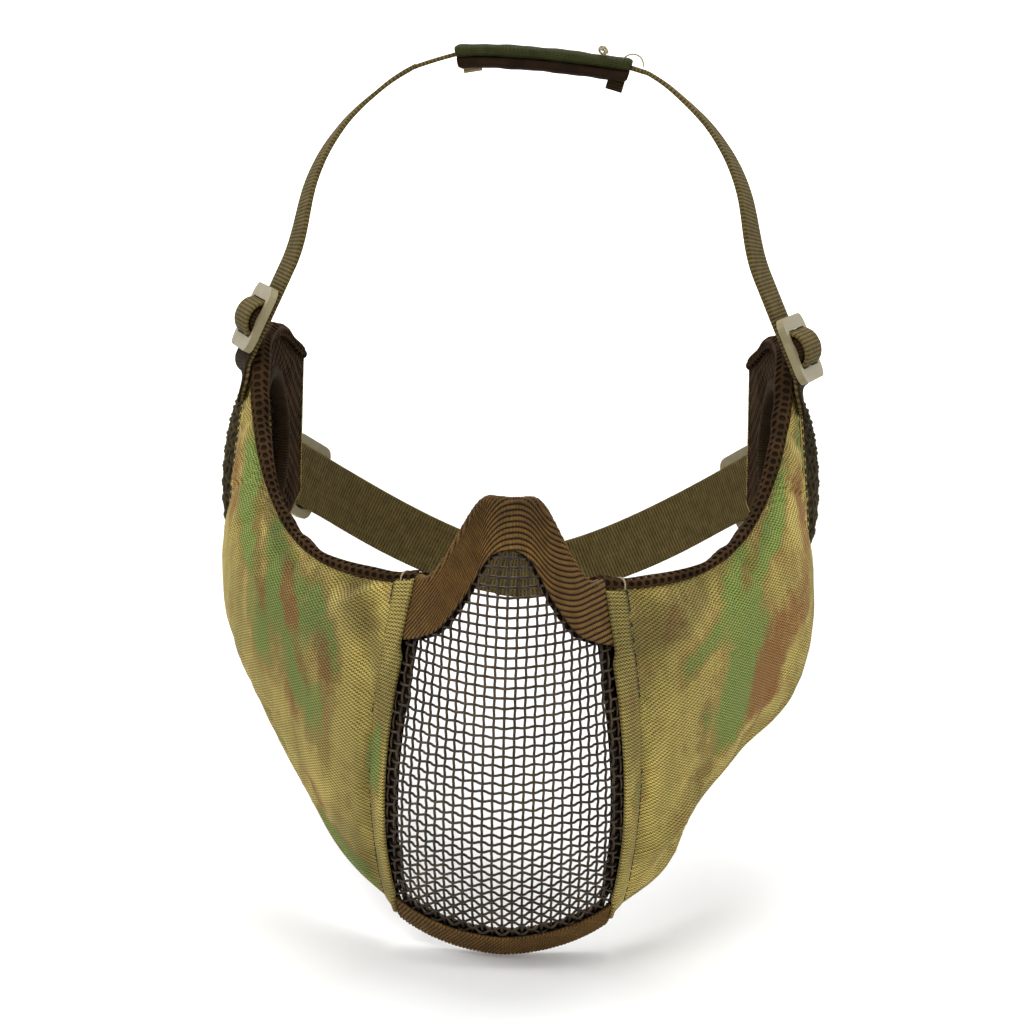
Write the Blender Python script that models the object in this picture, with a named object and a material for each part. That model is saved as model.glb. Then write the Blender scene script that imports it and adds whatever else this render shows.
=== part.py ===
"""Half-face field mask with ear guards: a formed steel-wire face panel, two padded cloth wings,
wire ear domes, and elastic crown and nape straps with three-bar sliders.

Frame: metres, +Z up, the wearer faces -Y, +X is the wearer's left.
The origin is midway between the wearer's ear canals, where the head that wears the mask sits.
"""

import math

import bmesh
import bpy
import numpy as np
from mathutils import Vector

MM = 0.001
GAP = 0.3 * MM  # clearance kept between neighbouring pieces

# ---------------------------------------------------------------- face panel
PANEL_THICKNESS = 1.5 * MM  # two crossing wires
ARC = math.radians(56)  # how far the panel's cross-section turns from centre to seam
PANEL_WEDGE = 0.5  # 0 is a plain arc across the panel, 1 is a ridge
PANEL_COLUMNS = 20
PANEL_SHARE = 0.945  # the wire panel ends this far out to the seam, inside its edge tape
NOSE_TOP_Z = 19 * MM
CHIN_Z = -122 * MM
SEAM_TOP_Z = -7 * MM
SEAM_BOTTOM_Z = -113 * MM

# level z, half-width to the seam, seam y, centre y (all mm), from chin to nose bridge
PANEL_LEVELS = [
    (-125, 29.0, -89, -100),
    (-113, 31.0, -97, -110),
    (-98, 33.5, -105, -121),
    (-81, 35.0, -111, -128.5),
    (-62, 34.8, -113, -132),
    (-44, 33.0, -112, -133),
    (-25, 30.0, -108, -129.5),
    (-7, 26.5, -103, -122.5),
    (10, 23.5, -99, -115.5),
    (25, 21.5, -96, -110),
]

# ---------------------------------------------------------------- bindings
TAPE_THICKNESS = 1.2 * MM
# height of the nose webbing's inner edge, evenly spaced from the centre to the seam (mm)
NOSE_INNER = (6.6, 3.4, -8.0, -17.5, -21.5, -24.0)
CHIN_LEG = 7 * MM
EDGE_LEG = 2.2 * MM

# ---------------------------------------------------------------- wings
# stations from the seam to the rear edge: top edge, bottom edge and outward bulge (mm)
WING_STATIONS = [
    ((26.5, -103, -7), (31, -97, -113), 0),
    ((40, -95, -9), (44, -87, -105.5), 3),
    ((57, -81, -8.5), (58.5, -73, -91.5), 5),
    ((70, -63, -3), (73, -57, -76), 6),
    ((79, -44, 9), (84, -40, -60), 6),
    ((84, -25, 25), (89, -21, -49), 5),
    ((86, -6, 39), (90, 0, -42), 4),
    ((86, 12, 41), (89, 19, -37), 3),
    ((84, 28, 39), (85, 34, -31), 2),
    ((79, 47, 27), (80, 47, -20), 0),
]
WING_START = 0.17  # station where the wing's cloth begins, clear of the panel
BLOCK_STATION = 4.3  # the wing's plain front part ends here, the part around the ear begins
WING_END = 9.0
WING_COLUMNS = 8
EAR_COLUMNS = 9
SHELL = 1.0 * MM
FOAM = 3.2 * MM
FOAM_EDGE = 0.8 * MM
LINING = 1.2 * MM

EAR_STATION = 6.62
EAR_V = 0.49
EAR_STATIONS_HALF = 1.4
EAR_V_HALF = 0.365
EAR_RISE = 7.5 * MM
EAR_WIRE = 1.4 * MM

# ---------------------------------------------------------------- straps and sliders
STRAP_WIDTH = 20 * MM
STRAP_THICKNESS = 1.6 * MM
CROWN_TOP = Vector((0, 20, 136)) * MM
CROWN_RADIUS = 110 * MM
CROWN_LEAN = math.radians(4)
CROWN_ARC = math.radians(20)
CROWN_SHOULDER = ((47.5, 15.5, 123), (60, 11.5, 111), (69, 6.5, 95))  # strap route, mm
CROWN_SLIDER = Vector((85.6, -6, 46.5)) * MM  # strap centre-line near the slider
CROWN_SHIFT = {1: -2.5 * MM, -1: 3.5 * MM}  # where each slider sits along its strap
CROWN_DIR = Vector((-0.40, 0.20, 0.895)).normalized()
CROWN_BAR = Vector((0.25, 0.967, 0.04))
CROWN_BELOW = 12.5 * MM  # anchor strap below the slider's centre
CROWN_ABOVE = 23 * MM

NAPE_START_STATION = 8.35
NAPE_V = 0.34
NAPE_DIR = Vector((-0.50, 0.70, -0.51)).normalized()
NAPE_LENGTH = 36 * MM
NAPE_SLIDER_AT = 22 * MM
NAPE_BACK = Vector((0, 97, -62)) * MM

SLIDER_WIDTH = 27 * MM
SLIDER_HEIGHT = 22 * MM
SLIDER_THICKNESS = 2.4 * MM
SLIDER_BAR = 4.5 * MM
SLIDER_CENTRE_BAR = 3 * MM
SLOT_LENGTH = 21 * MM
CORNER_RADIUS = 4 * MM
WRAP_HEIGHT = 5.2 * MM
WRAP_WIDTH = 19 * MM

PAD_START = math.radians(-12.5)  # crown pad along the strap's arc, from the crown's middle
PAD_END = math.radians(17)
PAD_WIDTH = 25 * MM
PAD_WALL = 1.4 * MM
PAD_LINING = 1.6 * MM

CROWN_TAB = (5.62, 6.38, 0.918, 0.985)  # stations and heights on the wing
TAB_WIDTH = 23 * MM
TAB_THICKNESS = 1.4 * MM


# ---------------------------------------------------------------- helpers
def clear_scene():
    for obj in list(bpy.data.objects):
        bpy.data.objects.remove(obj, do_unlink=True)


def material(name, colour, roughness, metallic=0.0):
    found = bpy.data.materials.get(name)
    if found:
        return found
    made = bpy.data.materials.new(name)
    made.use_nodes = True
    shader = made.node_tree.nodes["Principled BSDF"]
    shader.inputs["Base Color"].default_value = (*colour, 1)
    shader.inputs["Roughness"].default_value = roughness
    shader.inputs["Metallic"].default_value = metallic
    return made


def camo():
    return material("camo_cloth", (0.36, 0.34, 0.16), 0.9)


def brown_webbing():
    return material("brown_webbing", (0.20, 0.12, 0.06), 0.85)


def dark_spacer():
    return material("spacer_cloth", (0.055, 0.038, 0.028), 0.95)


def olive_webbing():
    return material("olive_webbing", (0.13, 0.11, 0.06), 0.85)


def slider_plastic():
    return material("slider_plastic", (0.28, 0.25, 0.18), 0.5)


def steel_wire():
    return material("dark_steel_wire", (0.05, 0.042, 0.036), 0.45, 0.6)


def foam_filling():
    return material("foam_filling", (0.25, 0.22, 0.18), 1.0)


def finish(name, verts, faces, mat, smooth=True):
    mesh = bpy.data.meshes.new(name)
    mesh.from_pydata([tuple(v) for v in verts], [], faces)
    work = bmesh.new()
    work.from_mesh(mesh)
    bmesh.ops.recalc_face_normals(work, faces=work.faces)
    work.to_mesh(mesh)
    work.free()
    if smooth:
        mesh.shade_smooth()
        mesh.set_sharp_from_angle(angle=math.radians(40))
    obj = bpy.data.objects.new(name, mesh)
    obj.data.materials.append(mat)
    bpy.context.collection.objects.link(obj)
    return obj


def spline(points, t):
    """Catmull-Rom through points with unit knots; t may be any real from 0 to len - 1."""
    pts = np.asarray(points, float)
    last = len(pts) - 1
    k = int(min(max(math.floor(t), 0), last - 1))
    f = t - k
    p1, p2 = pts[k], pts[k + 1]
    p0 = pts[k - 1] if k > 0 else 2 * p1 - p2
    p3 = pts[k + 2] if k + 2 <= last else 2 * p2 - p1
    return 0.5 * (
        2 * p1
        + (p2 - p0) * f
        + (2 * p0 - 5 * p1 + 4 * p2 - p3) * f * f
        + (3 * p1 - p0 - 3 * p2 + p3) * f**3
    )


def hermite(p0, t0, p1, t1, n):
    """n + 1 points of the cubic from p0 to p1 with end tangents t0 and t1."""
    out = []
    for i in range(n + 1):
        s = i / n
        out.append(
            (2 * s**3 - 3 * s**2 + 1) * p0
            + (s**3 - 2 * s**2 + s) * t0
            + (3 * s**2 - 2 * s**3) * p1
            + (s**3 - s**2) * t1
        )
    return out


def smoothstep(x):
    x = min(max(x, 0.0), 1.0)
    return x * x * (3 - 2 * x)


def mirrored(point, side):
    return Vector((point[0] * side, point[1], point[2]))


def side_name(side):
    return "left" if side > 0 else "right"


# ---------------------------------------------------------------- surfaces
def panel_level(z):
    """Half-width, seam y and centre y of the face panel at height z, in metres."""
    rows = np.array(PANEL_LEVELS, float) * MM
    k = float(np.interp(z, rows[:, 0], np.arange(len(rows))))
    return spline(rows[:, 1:], k)


def panel_point(r, z):
    """r runs from -1 at one seam to 1 at the other, z is the height."""
    half, seam_y, centre_y = panel_level(z)
    across = math.sin(r * ARC) / math.sin(ARC)
    arc = (1 - math.cos(r * ARC)) / (1 - math.cos(ARC))
    share = arc + PANEL_WEDGE * (abs(across) ** 1.35 - arc)
    return Vector((half * across, centre_y + (seam_y - centre_y) * share, z))


def normal_of(surface, a, b, da, db):
    pa = surface(a + da, b) - surface(a - da, b)
    pb = surface(a, b + db) - surface(a, b - db)
    return pa.cross(pb).normalized()


def panel_normal(r, z):
    return normal_of(panel_point, r, z, 0.01, 0.5 * MM)


def panel_top(r):
    """Height of the panel's upper edge: an arch over the nose that falls to the seams."""
    x = math.sin(abs(r) * ARC) / math.sin(ARC)
    return NOSE_TOP_Z + (SEAM_TOP_Z - NOSE_TOP_Z) * smoothstep((x - 0.24) / 0.68)


def nose_inner(r):
    levels = NOSE_INNER[:0:-1] + NOSE_INNER
    last = len(NOSE_INNER) - 1
    return float(spline([[z] for z in levels], (r + 1) * last)[0]) * MM


def panel_bottom(r):
    return CHIN_Z + (SEAM_BOTTOM_Z - CHIN_Z) * r * r


def wing_point(station, v):
    """Outer face of the wearer's left wing; v runs from 0 at the bottom edge to 1 at the top."""
    tops = [np.array(s[0], float) for s in WING_STATIONS]
    bottoms = [np.array(s[1], float) for s in WING_STATIONS]
    bulges = [[s[2]] for s in WING_STATIONS]
    top = spline(tops, station)
    bottom = spline(bottoms, station)
    along = (
        spline(tops, station + 0.05)
        + spline(bottoms, station + 0.05)
        - spline(tops, station - 0.05)
        - spline(bottoms, station - 0.05)
    )
    outward = np.array([along[1], -along[0], 0.0])
    outward /= np.linalg.norm(outward)
    point = bottom + (top - bottom) * v
    point = point + outward * float(spline(bulges, station)[0]) * 4 * v * (1 - v)
    # near the seam the wing takes the curve of the panel's edge
    z = (bottoms[0] + (tops[0] - bottoms[0]) * v)[2] * MM
    half, seam_y, _ = panel_level(z)
    straight = bottoms[0] + (tops[0] - bottoms[0]) * v
    pull = max(0.0, 1 - station / 3) ** 2
    point[0] += (half / MM - straight[0]) * pull
    point[1] += (seam_y / MM - straight[1]) * pull
    return Vector(point) * MM


def wing_normal(station, v):
    return normal_of(wing_point, station, v, 0.02, 0.01)


def wing_thickness(station, v):
    """Foam thickness: full in the middle, thin where the layers are sewn together."""
    from_edge = min(v, 1 - v) / 0.14
    from_seam = (station - WING_START) / 0.9
    from_rear = (WING_END - station) / 0.9
    share = smoothstep(min(from_edge, from_seam, from_rear))
    return FOAM_EDGE + (FOAM - FOAM_EDGE) * share


def front_stations():
    reach = BLOCK_STATION - WING_START
    return [WING_START + reach * i / WING_COLUMNS for i in range(WING_COLUMNS + 1)]


def back_stations():
    reach = WING_END - BLOCK_STATION
    return [BLOCK_STATION + reach * i / EAR_COLUMNS for i in range(EAR_COLUMNS + 1)]


# ---------------------------------------------------------------- mesh builders
def wing_layout():
    """Stations and heights of a wing sheet with its ear opening: (points, quads)."""
    columns, rows, rings = WING_COLUMNS, 7, 2
    points, index, quads = [], {}, []

    def vert(station, v):
        key = (round(station, 6), round(v, 6))
        if key not in index:
            index[key] = len(points)
            points.append((station, v))
        return index[key]

    cols = front_stations()
    levels = [j / rows for j in range(rows + 1)]
    for i in range(columns):
        for j in range(rows):
            quads.append(
                (
                    vert(cols[i], levels[j]),
                    vert(cols[i + 1], levels[j]),
                    vert(cols[i + 1], levels[j + 1]),
                    vert(cols[i], levels[j + 1]),
                )
            )
    backs = back_stations()
    outer = (
        [(s, 0.0) for s in backs[:-1]]
        + [(WING_END, v) for v in levels[:-1]]
        + [(s, 1.0) for s in reversed(backs[1:])]
        + [(BLOCK_STATION, v) for v in reversed(levels[1:])]
    )
    ellipse = []
    for s, v in outer:
        angle = math.atan2((v - EAR_V) / EAR_V_HALF, (s - EAR_STATION) / EAR_STATIONS_HALF)
        ellipse.append(
            (
                EAR_STATION + EAR_STATIONS_HALF * math.cos(angle),
                EAR_V + EAR_V_HALF * math.sin(angle),
            )
        )
    n = len(outer)
    for ring in range(rings):
        f0, f1 = ring / rings, (ring + 1) / rings
        for k in range(n):
            corner = []
            for kk, f in ((k, f0), (k, f1), ((k + 1) % n, f1), ((k + 1) % n, f0)):
                a, b = ellipse[kk], outer[kk]
                corner.append(vert(a[0] + (b[0] - a[0]) * f, a[1] + (b[1] - a[1]) * f))
            quads.append(tuple(corner))
    return points, quads


def sheet_solid(name, points, quads, surface, normal, near, far, side, mat):
    """A closed layer over a sheet layout, between two offsets along the surface's normal."""
    n = len(points)
    verts = []
    for depth in (near, far):
        for p in points:
            at = surface(*p) + normal(*p) * depth(*p)
            verts.append(mirrored(at, side))
    faces = []
    for a, b, c, d in quads:  # both skins split along the same diagonal
        faces += [(a, b, c), (a, c, d)]
        faces += [(c + n, b + n, a + n), (d + n, c + n, a + n)]
    used = {}
    for q in quads:
        for a, b in zip(q, q[1:] + q[:1]):
            used[(a, b)] = True
    for a, b in used:
        if (b, a) not in used:
            faces.append((b, a, a + n, b + n))
    return finish(name, verts, faces, mat)


def swept(name, sections, mat, closed=False):
    """A solid through equal polygons, one for each place along a route."""
    size = len(sections[0])
    verts = [p for section in sections for p in section]
    faces = []
    count = len(sections)
    for i in range(count if closed else count - 1):
        a, b = i * size, ((i + 1) % count) * size
        for j in range(size):
            k = (j + 1) % size
            faces.append((a + j, a + k, b + k, b + j))
    if not closed:
        faces.append(tuple(range(size - 1, -1, -1)))
        faces.append(tuple((count - 1) * size + j for j in range(size)))
    return finish(name, verts, faces, mat)


def ribbon(name, path, across, width, inner, outer, mat):
    """A flat strap: path points, width directions, and its faces' offsets from the path."""
    sections = []
    for i, p in enumerate(path):
        ahead = path[min(i + 1, len(path) - 1)] - path[max(i - 1, 0)]
        ahead.normalize()
        wide = (across[i] - ahead * across[i].dot(ahead)).normalized()
        out = wide.cross(ahead).normalized()
        sections.append(
            [
                p - wide * width / 2 + out * inner,
                p + wide * width / 2 + out * inner,
                p + wide * width / 2 + out * outer,
                p - wide * width / 2 + out * outer,
            ]
        )
    return swept(name, sections, mat)


def channel(name, rows, mat, thickness=TAPE_THICKNESS, slack=GAP):
    """Tape folded over a sheet's edge. Each row: points and normals from one leg's end to the edge,
    and the direction that leaves the sheet at the edge."""
    inside = PANEL_THICKNESS / 2 + slack
    outside = inside + thickness
    sections = []
    for leg, over in rows:
        front_skin = [p + n * outside for p, n in leg]
        front_gap = [p + n * inside for p, n in leg]
        back_skin = [p - n * outside for p, n in leg]
        back_gap = [p - n * inside for p, n in leg]
        edge, edge_normal = leg[-1]
        cap = edge + over * GAP + over.normalized() * thickness
        sections.append(
            front_skin
            + [cap + edge_normal * outside * 0.6, cap - edge_normal * outside * 0.6]
            + back_skin[::-1]
            + back_gap
            + [edge + over * GAP - edge_normal * inside, edge + over * GAP + edge_normal * inside]
            + front_gap[::-1]
        )
    return swept(name, sections, mat)


def plate_with_slots(name, outline, slots, thickness, place, mat):
    """A flat plate with holes, extruded about its middle plane and placed by a function."""
    work = bmesh.new()
    edges = []
    for loop in [outline, *slots]:
        ring = [work.verts.new((x, y, -thickness / 2)) for x, y in loop]
        edges += [work.edges.new((a, b)) for a, b in zip(ring, ring[1:] + ring[:1])]
    bmesh.ops.triangle_fill(work, use_beauty=True, use_dissolve=False, edges=edges)
    made = bmesh.ops.extrude_face_region(work, geom=list(work.faces))
    top = [g for g in made["geom"] if isinstance(g, bmesh.types.BMVert)]
    bmesh.ops.translate(work, verts=top, vec=(0, 0, thickness))
    work.verts.index_update()
    verts = [place(v.co) for v in work.verts]
    faces = [tuple(v.index for v in f.verts) for f in work.faces]
    work.free()
    return finish(name, verts, faces, mat)


def rounded_rectangle(width, height, radius, steps=4):
    points = []
    for cx, cy, start in (
        (width / 2 - radius, height / 2 - radius, 0),
        (radius - width / 2, height / 2 - radius, 90),
        (radius - width / 2, radius - height / 2, 180),
        (width / 2 - radius, radius - height / 2, 270),
    ):
        for i in range(steps + 1):
            a = math.radians(start + 90 * i / steps)
            points.append((cx + radius * math.cos(a), cy + radius * math.sin(a)))
    return points


# ---------------------------------------------------------------- face panel pieces
def face_panel():
    columns, rows = PANEL_COLUMNS, 10
    points, quads = [], []
    for i in range(columns + 1):
        r = PANEL_SHARE * (2 * i / columns - 1)
        for j in range(rows + 1):
            low, high = panel_bottom(r), panel_top(r)
            points.append((r, low + (high - low) * j / rows))
    for i in range(columns):
        for j in range(rows):
            a = i * (rows + 1) + j
            quads.append((a, a + rows + 1, a + rows + 2, a + 1))
    half = PANEL_THICKNESS / 2
    sheet_solid(
        "face_wire_panel",
        points,
        quads,
        panel_point,
        panel_normal,
        lambda r, z: half,
        lambda r, z: -half,
        1,
        steel_wire(),
    )


def panel_leg(r, z_end, z_edge, steps):
    levels = [z_end + (z_edge - z_end) * i / steps for i in range(steps + 1)]
    return [(panel_point(r, z), panel_normal(r, z)) for z in levels]


def nose_binding():
    rows = []
    for i in range(PANEL_COLUMNS + 1):
        r = PANEL_SHARE * (2 * i / PANEL_COLUMNS - 1)
        rows.append((panel_leg(r, nose_inner(r), panel_top(r), 2), Vector((0, 0, 1.8))))
    channel("nose_binding", rows, brown_webbing())


def chin_binding():
    rows = []
    for i in range(PANEL_COLUMNS + 1):
        r = PANEL_SHARE * (2 * i / PANEL_COLUMNS - 1)
        low = panel_bottom(r)
        down = (panel_point(r, low) - panel_point(r, low + 2 * MM)).normalized()
        rows.append((panel_leg(r, low + CHIN_LEG, low, 1), down))
    channel("chin_binding", rows, brown_webbing())


def edge_tape(side):
    """Dark tape that covers the cut wires along one seam, between nose and chin bindings."""
    rows = []
    count = 12
    top = nose_inner(PANEL_SHARE) - 1.2 * MM
    low = panel_bottom(PANEL_SHARE) + CHIN_LEG + 1.2 * MM
    for i in range(count + 1):
        z = low + (top - low) * i / count
        edge = panel_point(PANEL_SHARE * side, z)
        inner = panel_point((PANEL_SHARE - 0.1) * side, z)
        inward = (inner - edge).normalized()
        normal = panel_normal(PANEL_SHARE * side, z)
        rows.append(([(edge + inward * EDGE_LEG, normal), (edge, normal)], -inward))
    channel(f"{side_name(side)}_panel_edge_tape", rows, dark_spacer(), 0.8 * MM, 0.55 * MM)


# ---------------------------------------------------------------- wing pieces
def wing_layers(side):
    name = side_name(side)
    layout = wing_layout()
    depth = wing_thickness
    sheet_solid(
        f"{name}_wing_shell",
        *layout,
        wing_point,
        wing_normal,
        lambda s, v: 0.0,
        lambda s, v: -SHELL,
        side,
        camo(),
    )
    sheet_solid(
        f"{name}_wing_foam",
        *layout,
        wing_point,
        wing_normal,
        lambda s, v: -SHELL - GAP,
        lambda s, v: -SHELL - GAP - depth(s, v),
        side,
        foam_filling(),
    )
    sheet_solid(
        f"{name}_wing_lining",
        *layout,
        wing_point,
        wing_normal,
        lambda s, v: -SHELL - 2 * GAP - depth(s, v),
        lambda s, v: -SHELL - 2 * GAP - depth(s, v) - LINING,
        side,
        dark_spacer(),
    )


def top_edge_roll(side):
    """The lining rolled over the wing's top edge."""
    sections = []
    thick = SHELL + 2 * GAP + FOAM_EDGE + LINING
    for station in front_stations() + back_stations()[1:]:
        out = wing_normal(station, 1.0)
        edge = wing_point(station, 1.0) - out * thick / 2
        up = (wing_point(station, 1.0) - wing_point(station, 0.98)).normalized()
        centre = edge + up * (GAP + 2.0 * MM)
        section = []
        for k in range(6):
            a = 2 * math.pi * k / 6
            section.append(
                mirrored(centre + out * 3.2 * MM * math.cos(a) + up * 2.0 * MM * math.sin(a), side)
            )
        sections.append(section)
    swept(f"{side_name(side)}_top_edge_roll", sections, dark_spacer())


def seam_strip(side):
    """Folded strip of shell cloth stitched down along the seam."""
    sections = []
    count = 14
    for i in range(count + 1):
        v = 0.01 + 0.98 * i / count
        section = []
        for station, depth in ((0.18, 0.3), (0.42, 0.3), (0.62, 0.3), (0.62, 1.2), (0.42, 1.7), (0.18, 1.4)):
            at = wing_point(station, v) + wing_normal(station, v) * depth * MM
            section.append(mirrored(at, side))
        sections.append(section)
    swept(f"{side_name(side)}_seam_strip", sections, camo())


def ear_polar(rho, angle):
    return (
        EAR_STATION + EAR_STATIONS_HALF * rho * math.cos(angle),
        EAR_V + EAR_V_HALF * rho * math.sin(angle),
    )


def ear_guard(side):
    """Wire dome over the ear, a cap whose rim sits in the wing's opening."""
    spokes, rings = 24, 4
    rim = 0.965
    verts, faces = [], []
    for lift in (0.0, -EAR_WIRE):
        for ring in range(rings + 1):
            rho = rim * ring / rings
            rise = EAR_RISE * math.sqrt(max(0.0, 1 - (ring / rings) ** 2.6))
            for k in range(spokes if ring else 1):
                at = ear_polar(rho, 2 * math.pi * k / spokes)
                n = wing_normal(*at)
                verts.append(mirrored(wing_point(*at) + n * (rise + lift - 1.2 * MM), side))
    layer = 1 + rings * spokes

    def vert(level, ring, k):
        return level * layer + (0 if ring == 0 else 1 + (ring - 1) * spokes + k % spokes)

    for k in range(spokes):
        faces.append((vert(0, 0, 0), vert(0, 1, k), vert(0, 1, k + 1)))
        faces.append((vert(1, 0, 0), vert(1, 1, k + 1), vert(1, 1, k)))
        for ring in range(1, rings):
            faces.append(
                (vert(0, ring, k), vert(0, ring + 1, k), vert(0, ring + 1, k + 1), vert(0, ring, k + 1))
            )
            faces.append(
                (vert(1, ring, k + 1), vert(1, ring + 1, k + 1), vert(1, ring + 1, k), vert(1, ring, k))
            )
        faces.append(
            (vert(0, rings, k), vert(1, rings, k), vert(1, rings, k + 1), vert(0, rings, k + 1))
        )
    finish(f"{side_name(side)}_ear_guard", verts, faces, steel_wire())


def ear_rim(side):
    """Binding tape sewn round the ear opening on the outside of the wing."""
    sections = []
    spokes = 28
    for k in range(spokes):
        a = 2 * math.pi * k / spokes
        section = []
        for rho, depth in ((1.005, 0.3), (1.13, 0.3), (1.13, 1.0), (1.07, 1.7), (1.005, 1.4)):
            at = ear_polar(rho, a)
            section.append(mirrored(wing_point(*at) + wing_normal(*at) * depth * MM, side))
        sections.append(section)
    swept(f"{side_name(side)}_ear_rim", sections, camo(), closed=True)


# ---------------------------------------------------------------- straps
def crown_frame(side):
    """Place, run direction, bar direction and outward direction of one crown slider."""
    run = mirrored(CROWN_DIR, side)
    bar = mirrored(CROWN_BAR, side)
    bar = (bar - run * bar.dot(run)).normalized()
    out = bar.cross(run).normalized()
    if out.x * side < 0:
        out = -out
    return mirrored(CROWN_SLIDER, side), run, bar, out


def crown_circle(phi):
    """Point of the crown strap's arc; phi is the angle from the top, towards +X."""
    lean = Vector((0, math.sin(CROWN_LEAN), math.cos(CROWN_LEAN)))
    centre = CROWN_TOP - lean * CROWN_RADIUS
    return centre + Vector((1, 0, 0)) * CROWN_RADIUS * math.sin(phi) + lean * CROWN_RADIUS * math.cos(phi)


def crown_half(side):
    """Path and width directions of the crown strap from its middle down to one anchor strap."""
    across = Vector((0, math.cos(CROWN_LEAN), -math.sin(CROWN_LEAN)))
    place, run, bar, _ = crown_frame(side)
    steps = 6
    path = [crown_circle(side * CROWN_ARC * i / steps) for i in range(steps + 1)]
    end = place + run * (CROWN_ABOVE + GAP)
    lead = end + run * 3 * MM
    knots = [path[-2], path[-1]]
    knots += [mirrored(p, side) * MM for p in CROWN_SHOULDER]
    knots += [lead, end]
    reach = len(knots) - 3
    path += [Vector(spline(knots, 1 + i / 3)) for i in range(1, 3 * reach + 1)] + [end]
    if bar.dot(across) < 0:
        bar = -bar
    directions = []
    for i in range(len(path)):
        turn = smoothstep((i - steps) / (len(path) - 2 - steps))
        directions.append(across.lerp(bar, turn))
    return path, directions


def crown_strap():
    left, left_across = crown_half(1)
    right, right_across = crown_half(-1)
    path = right[::-1] + left[1:]
    across = right_across[::-1] + left_across[1:]
    half = STRAP_THICKNESS / 2
    ribbon("crown_strap", path, across, STRAP_WIDTH, -half, half, olive_webbing())


def crown_pad():
    """Sleeve round the crown strap, with its soft underside."""
    count = 12
    across = Vector((0, math.cos(CROWN_LEAN), -math.sin(CROWN_LEAN)))
    lean = Vector((0, math.sin(CROWN_LEAN), math.cos(CROWN_LEAN)))
    centre = CROWN_TOP - lean * CROWN_RADIUS
    inner_w, outer_w = STRAP_WIDTH / 2 + 0.5 * MM, PAD_WIDTH / 2
    hole = STRAP_THICKNESS / 2 + 0.4 * MM
    verts, faces = [], []
    under = []
    for i in range(count + 1):
        p = crown_circle(PAD_START + (PAD_END - PAD_START) * i / count)
        out = (p - centre).normalized()
        for w, h in ((outer_w, hole + PAD_WALL), (inner_w, hole)):
            for sw, sh in ((-1, -1), (1, -1), (1, 1), (-1, 1)):
                verts.append(p + across * w * sw + out * h * sh)
        low = -(hole + PAD_WALL + GAP)
        under.append(
            [
                p - across * outer_w + out * low,
                p + across * outer_w + out * low,
                p + across * outer_w + out * (low - PAD_LINING),
                p - across * outer_w + out * (low - PAD_LINING),
            ]
        )
    for i in range(count):
        a, b = i * 8, i * 8 + 8
        for j in range(4):
            k = (j + 1) % 4
            faces.append((a + j, a + k, b + k, b + j))
            faces.append((a + 4 + k, a + 4 + j, b + 4 + j, b + 4 + k))
    for a, flip in ((0, False), (count * 8, True)):
        for j in range(4):
            k = (j + 1) % 4
            quad = (a + k, a + j, a + 4 + j, a + 4 + k)
            faces.append(quad[::-1] if flip else quad)
    finish("crown_pad_sleeve", verts, faces, material("green_webbing", (0.07, 0.085, 0.035), 0.9))
    swept("crown_pad_lining", under, dark_spacer())


def nape_frame(side):
    """Start, run, bar and outward directions of one nape anchor strap."""
    seat = wing_point(NAPE_START_STATION, NAPE_V)
    out = wing_normal(NAPE_START_STATION, NAPE_V)
    run = NAPE_DIR
    bar = Vector((0, 0, 1)) - run * run.z
    bar.normalize()
    lift = bar.cross(run).normalized()
    if lift.x < 0:
        lift = -lift
    start = seat + out * 3.6 * MM
    return mirrored(start, side), mirrored(run, side), mirrored(bar, side), mirrored(lift, side)


def nape_strap():
    half = STRAP_THICKNESS / 2
    halves = []
    for side in (1, -1):
        start, run, bar, _ = nape_frame(side)
        end = start + run * (NAPE_LENGTH + GAP)
        lead = end + run * 3 * MM
        span = (NAPE_BACK - lead).length
        back = Vector((-side, 0, 0)) * span * 0.9
        route = [end, *hermite(lead, run * span * 0.75, NAPE_BACK, back, 11)]
        turns = [bar.lerp(Vector((0, -0.12, 1)), i / 12) for i in range(13)]
        turns[1] = bar
        halves.append((route, turns))
    (left, left_across), (right, right_across) = halves
    path = left + right[::-1][1:]
    across = left_across + right_across[::-1][1:]
    ribbon("nape_strap", path, across, STRAP_WIDTH, -half, half, olive_webbing())


def anchor_strap(name, start, run, bar, length):
    """Straight elastic that is sewn to the wing and runs behind a slider."""
    half = STRAP_THICKNESS / 2
    steps = 4
    path = [start + run * length * i / steps for i in range(steps + 1)]
    ribbon(name, path, [bar] * (steps + 1), STRAP_WIDTH, -half, half, olive_webbing())


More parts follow.
